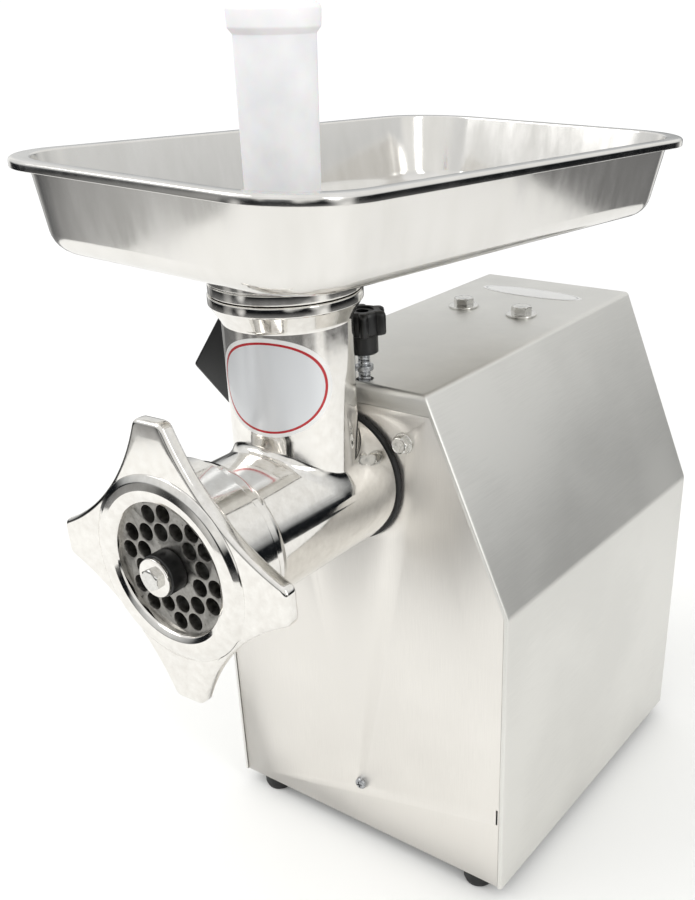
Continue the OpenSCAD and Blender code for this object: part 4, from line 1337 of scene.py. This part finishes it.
class GRINDER_OT_fittings(bpy.types.Operator):
    """Makes the feet, the badge, the gasket and the cable gland"""
    bl_idname = "grinder.fittings"
    bl_label = "Fittings"

    def execute(self, context):
        low, high = span("rubber_feet")
        tall = (high.z - low.z) / MM
        foot = turned("f", [(2.1, 4, 0), (4, 4, 0.3), (4, 0, 0.5), (7.6, 0, 1.2), (8.8, 3.2, 1.5),
                            (9, tall - 1.2, 0.6),
                            (8.6, tall, 0.3), (2.1, tall, 0)], ORIGIN, segments=56)
        spots = [Vector((c.x, c.y, low.z)) for c in solid_centres("rubber_feet")]
        feet = repeated("moulded_feet", foot, spots, "black_rubber")
        settle(feet, "black_rubber", "housing", "rubber_feet")

        low, high = span("top_badge")
        badge_centre, half, thick = (low + high) / 2, (high - low) / 2, high.z - low.z

        def place(u, v, share, layer):
            """The badge's top is slightly domed."""
            z = -thick / 2 if layer == 0 else thick / 2 - thick * 0.3 * share ** 6
            return badge_centre + Vector((u * half.x, v * half.y, z))

        badge = oval_sheet("enamel_badge", "face", 12, place)
        settle(badge, "label_white", "housing", "top_badge")

        low, high = span("socket_gasket")
        gasket = turned("socket_seal", [(30.5, 0, 0), (34.6, 0, 0.3), (34.6, (high.y - low.y) / MM, 0.9),
                                        (30.5, (high.y - low.y) / MM, 0.2)],
                        Vector((0, high.y, HEAD_Z)), "front", 120)
        settle(gasket, "black_rubber", "housing", "socket_gasket")

        low, high = span("cable_gland")
        centre = (low + high) / 2
        base = high.y - 16.3 * MM
        spot = Vector((centre.x, base, centre.z))
        body = turned("g", [(4, -9, 0), (8, -9, 0.4), (8, 4, 0), (9, 4, 0), (9, 11, 0.5), (6.5, 16.3, 1.2),
                            (4, 16.3, 0.4)], spot, "back", 64, 30)
        nuts = []
        for start_mm, thick_mm in ((0, 5), (-5, 3.5)):
            nut = hex_bolt("n", 20, thick_mm, None, 0, 3, 0.0, 0.0)
            along = Matrix.Translation((0, 0, start_mm * MM))
            move_mesh(nut, Matrix.Translation(spot) @ AXES["back"].to_4x4() @ along)
            carve(nut, [plug(4, -20, 20, spot, "back", 48)])
            nuts.append(nut)
        gland = join("cord_gland", [body] + nuts)
        settle(gland, "dark_plastic", "housing", "cable_gland")
        return {"FINISHED"}


class GRINDER_OT_switch(bpy.types.Operator):
    """Moulds the wedge-shaped switch box and its two buttons"""
    bl_idname = "grinder.switch"
    bl_label = "Switch Box"

    def execute(self, context):
        low, high = span("switch_housing")
        tilt = math.radians(52.5)
        face = 46 * MM
        size = context.scene.grinder_housing
        side = side_slope(size)
        inward = Vector((math.sin(tilt), -math.cos(tilt)))
        first = Vector((low.x, high.z - face * math.sin(tilt)))
        second = first + Vector((math.cos(tilt), math.sin(tilt))) * face

        def onto_side(p):
            gap = 0.3 * MM
            start = -size.top_width / 2 - (SHELL_HIGH.z - p.y) * side - gap - p.x
            return p + inward * (start / (inward.x - side * inward.y))

        outline = [tuple(first), tuple(second), tuple(onto_side(second)), tuple(onto_side(first))]
        box = extruded("switch_box", outline, low.y, high.y)
        bevelled(box, 2.0, 4, 30)
        middle_point = (first + second) / 2
        turn = Matrix.Rotation(-tilt, 4, "Y")
        rings = []
        for node in ("start_button", "stop_button"):
            spot = middle(node)
            place = Matrix.Translation((middle_point.x, spot.y, middle_point.y)) @ turn
            carve(box, [move_mesh(plug(9.08, -7, 9), place)])
            collar = turned("c", [(9.1, -1, 0), (12.5, -1, 0), (12.5, 1.0, 0.5), (11.6, 1.6, 0.5),
                                  (9.6, 1.6, 0.4),
                                  (9.1, 1.0, 0)], ORIGIN, "up", 72)
            rings.append(move_mesh(collar, place))
            button = turned(node.replace("_", "_cap_"), [
                (0, -9, 0), (11, -9, 0.4), (11, -7, 0.3), (9, -7, 0), (9, 4.0, 1.0), (7.6, 5, 0.8),
                (5, 4.6, 3),
                (0, 4.4, 0)], ORIGIN, "up", 72)
            move_mesh(button, place)
            slot = "green_plastic" if node == "start_button" else "red_plastic"
            settle(button, slot, node, node)
        shade(box, 30)
        whole = join("switch_casing", [box] + rings)
        settle(whole, "black_plastic", "housing", "switch_housing")
        return {"FINISHED"}


class GRINDER_OT_stage(bpy.types.Operator):
    """Sets the floor, the soft light and the camera"""
    bl_idname = "grinder.stage"
    bl_label = "Stage"

    def execute(self, context):
        size = context.scene.grinder_stage
        floor = turned("pale_floor", [(0, -4, 0), (900, -4, 0), (900, 0, 0), (0, 0, 0)], ORIGIN, "up", 96)
        mat, tree, shader, place = start_material("pale paper", "#F4F4F2", 0.0, 0.9)
        grain = mottle(tree, place, 400, 3, 0.5)
        relief(tree, shader, grain, "Fac", 0.05, 0.05)
        floor.data.materials.append(mat)

        camera_data = bpy.data.cameras.new("camera")
        camera = add_object("camera", camera_data)
        back = Vector((math.sin(size.azimuth) * math.cos(size.elevation),
                       -math.cos(size.azimuth) * math.cos(size.elevation), math.sin(size.elevation)))
        side = Vector((0, 0, 1)).cross(back).normalized()
        up = back.cross(side)
        c, s = math.cos(size.roll), math.sin(size.roll)
        rolled_side, rolled_up = side * c + up * s, up * c - side * s
        pose = Matrix((rolled_side, rolled_up, back)).transposed().to_4x4()
        pose.translation = Vector(size.camera) + SHIFT
        camera.matrix_world = pose
        camera_data.lens = size.lens
        camera_data.sensor_width = 36
        camera_data.shift_x, camera_data.shift_y = size.shift
        context.scene.camera = camera
        context.scene.view_settings.view_transform = "Standard"

        soft_box("key softbox", Vector((-0.9, -0.9, 1.5)), Vector((0, 0, 0.25)), 1.0, 1.0, size.key)
        soft_box("side strip", Vector((1.5, -0.3, 0.9)), Vector((0, 0, 0.25)), 0.35, 1.2, size.key * 0.5)
        studio_world(context.scene, size.sky)
        return {"FINISHED"}


def soft_box(name, place, aim, width, height, power):
    data = bpy.data.lights.new(name, "AREA")
    data.shape = "RECTANGLE"
    data.size, data.size_y = width, height
    data.energy = power
    lamp = add_object(name, data)
    lamp.location = place
    lamp.rotation_euler = (aim - place).to_track_quat("-Z", "Y").to_euler()


def studio_world(scene, strength):
    """White all round for the eye and for soft light, and a darker room for what polished metal mirrors."""
    world = bpy.data.worlds.new("studio")
    scene.world = world
    world.use_nodes = True
    tree = world.node_tree
    tree.nodes.clear()
    place = add_node(tree, "ShaderNodeTexCoord")
    parts = add_node(tree, "ShaderNodeSeparateXYZ", links={"Vector": (place, "Generated")})
    height = remap(tree, parts, "Z", 0, 1, -1, 1)
    room = add_node(tree, "ShaderNodeValToRGB", links={"Fac": (height, "Result")})
    stops = [(0.0, "#9A9A98"), (0.34, "#7A7A7A"), (0.41, "#101214"), (0.485, "#15181C"), (0.525, "#A9ABAC"),
             (0.60, "#E2E3E3"), (1.0, "#FFFFFF")]
    ramp = room.color_ramp
    ramp.elements[0].position, ramp.elements[0].color = stops[0][0], linear(stops[0][1])
    ramp.elements[1].position, ramp.elements[1].color = stops[-1][0], linear(stops[-1][1])
    for position, colour in stops[1:-1]:
        ramp.elements.new(position).color = linear(colour)
    # windows and walls: slow bands round the horizon
    bands = add_node(tree, "ShaderNodeTexNoise", inputs={"Scale": 1.7, "Detail": 1.0},
                     links={"Vector": (place, "Generated")})
    open_sky = remap(tree, bands, "Fac", 0.0, 1.0, 0.45, 0.62)
    mirrored = add_node(tree, "ShaderNodeMixRGB", inputs={"Color2": linear("#F6F6F4")},
                        links={"Fac": (open_sky, "Result"), "Color1": (room, "Color")})
    path = add_node(tree, "ShaderNodeLightPath")
    seen = add_node(tree, "ShaderNodeMixRGB", inputs={"Color1": linear("#FFFFFF")},
                    links={"Fac": (path, "Is Glossy Ray"), "Color2": (mirrored, "Color")})
    light = add_node(tree, "ShaderNodeBackground", inputs={"Strength": strength},
                     links={"Color": (seen, "Color")})
    out = add_node(tree, "ShaderNodeOutputWorld")
    tree.links.new(light.outputs["Background"], out.inputs["Surface"])


class GRINDER_PT_panel(bpy.types.Panel):
    """Lists the grinder's pieces"""
    bl_idname = "GRINDER_PT_panel"
    bl_label = "Meat Grinder"
    bl_space_type = "VIEW_3D"
    bl_region_type = "UI"
    bl_category = "Grinder"

    def draw(self, context):
        for operator in OPERATORS:
            self.layout.operator(operator.bl_idname)
        for name, group in SETTINGS.items():
            column = self.layout.box().column()
            for key in group.__annotations__:
                column.prop(getattr(context.scene, name), key)


OPERATORS = (GRINDER_OT_finishes, GRINDER_OT_stage, GRINDER_OT_housing, GRINDER_OT_panel, GRINDER_OT_head,
             GRINDER_OT_label, GRINDER_OT_ring_nut, GRINDER_OT_plate, GRINDER_OT_fasteners, GRINDER_OT_tray,
             GRINDER_OT_pusher, GRINDER_OT_lock, GRINDER_OT_fittings, GRINDER_OT_switch)


def register():
    for group in SETTINGS.values():
        bpy.utils.register_class(group)
    for name, group in SETTINGS.items():
        setattr(bpy.types.Scene, name, bpy.props.PointerProperty(type=group))
    for operator in OPERATORS:
        bpy.utils.register_class(operator)
    bpy.utils.register_class(GRINDER_PT_panel)


def unregister():
    bpy.utils.unregister_class(GRINDER_PT_panel)
    for operator in reversed(OPERATORS):
        bpy.utils.unregister_class(operator)
    for name in SETTINGS:
        delattr(bpy.types.Scene, name)
    for group in reversed(SETTINGS.values()):
        bpy.utils.unregister_class(group)


def main():
    register()
    for operator in OPERATORS:
        group, name = operator.bl_idname.split(".")
        getattr(getattr(bpy.ops, group), name)()


if __name__ == "__main__":
    main()
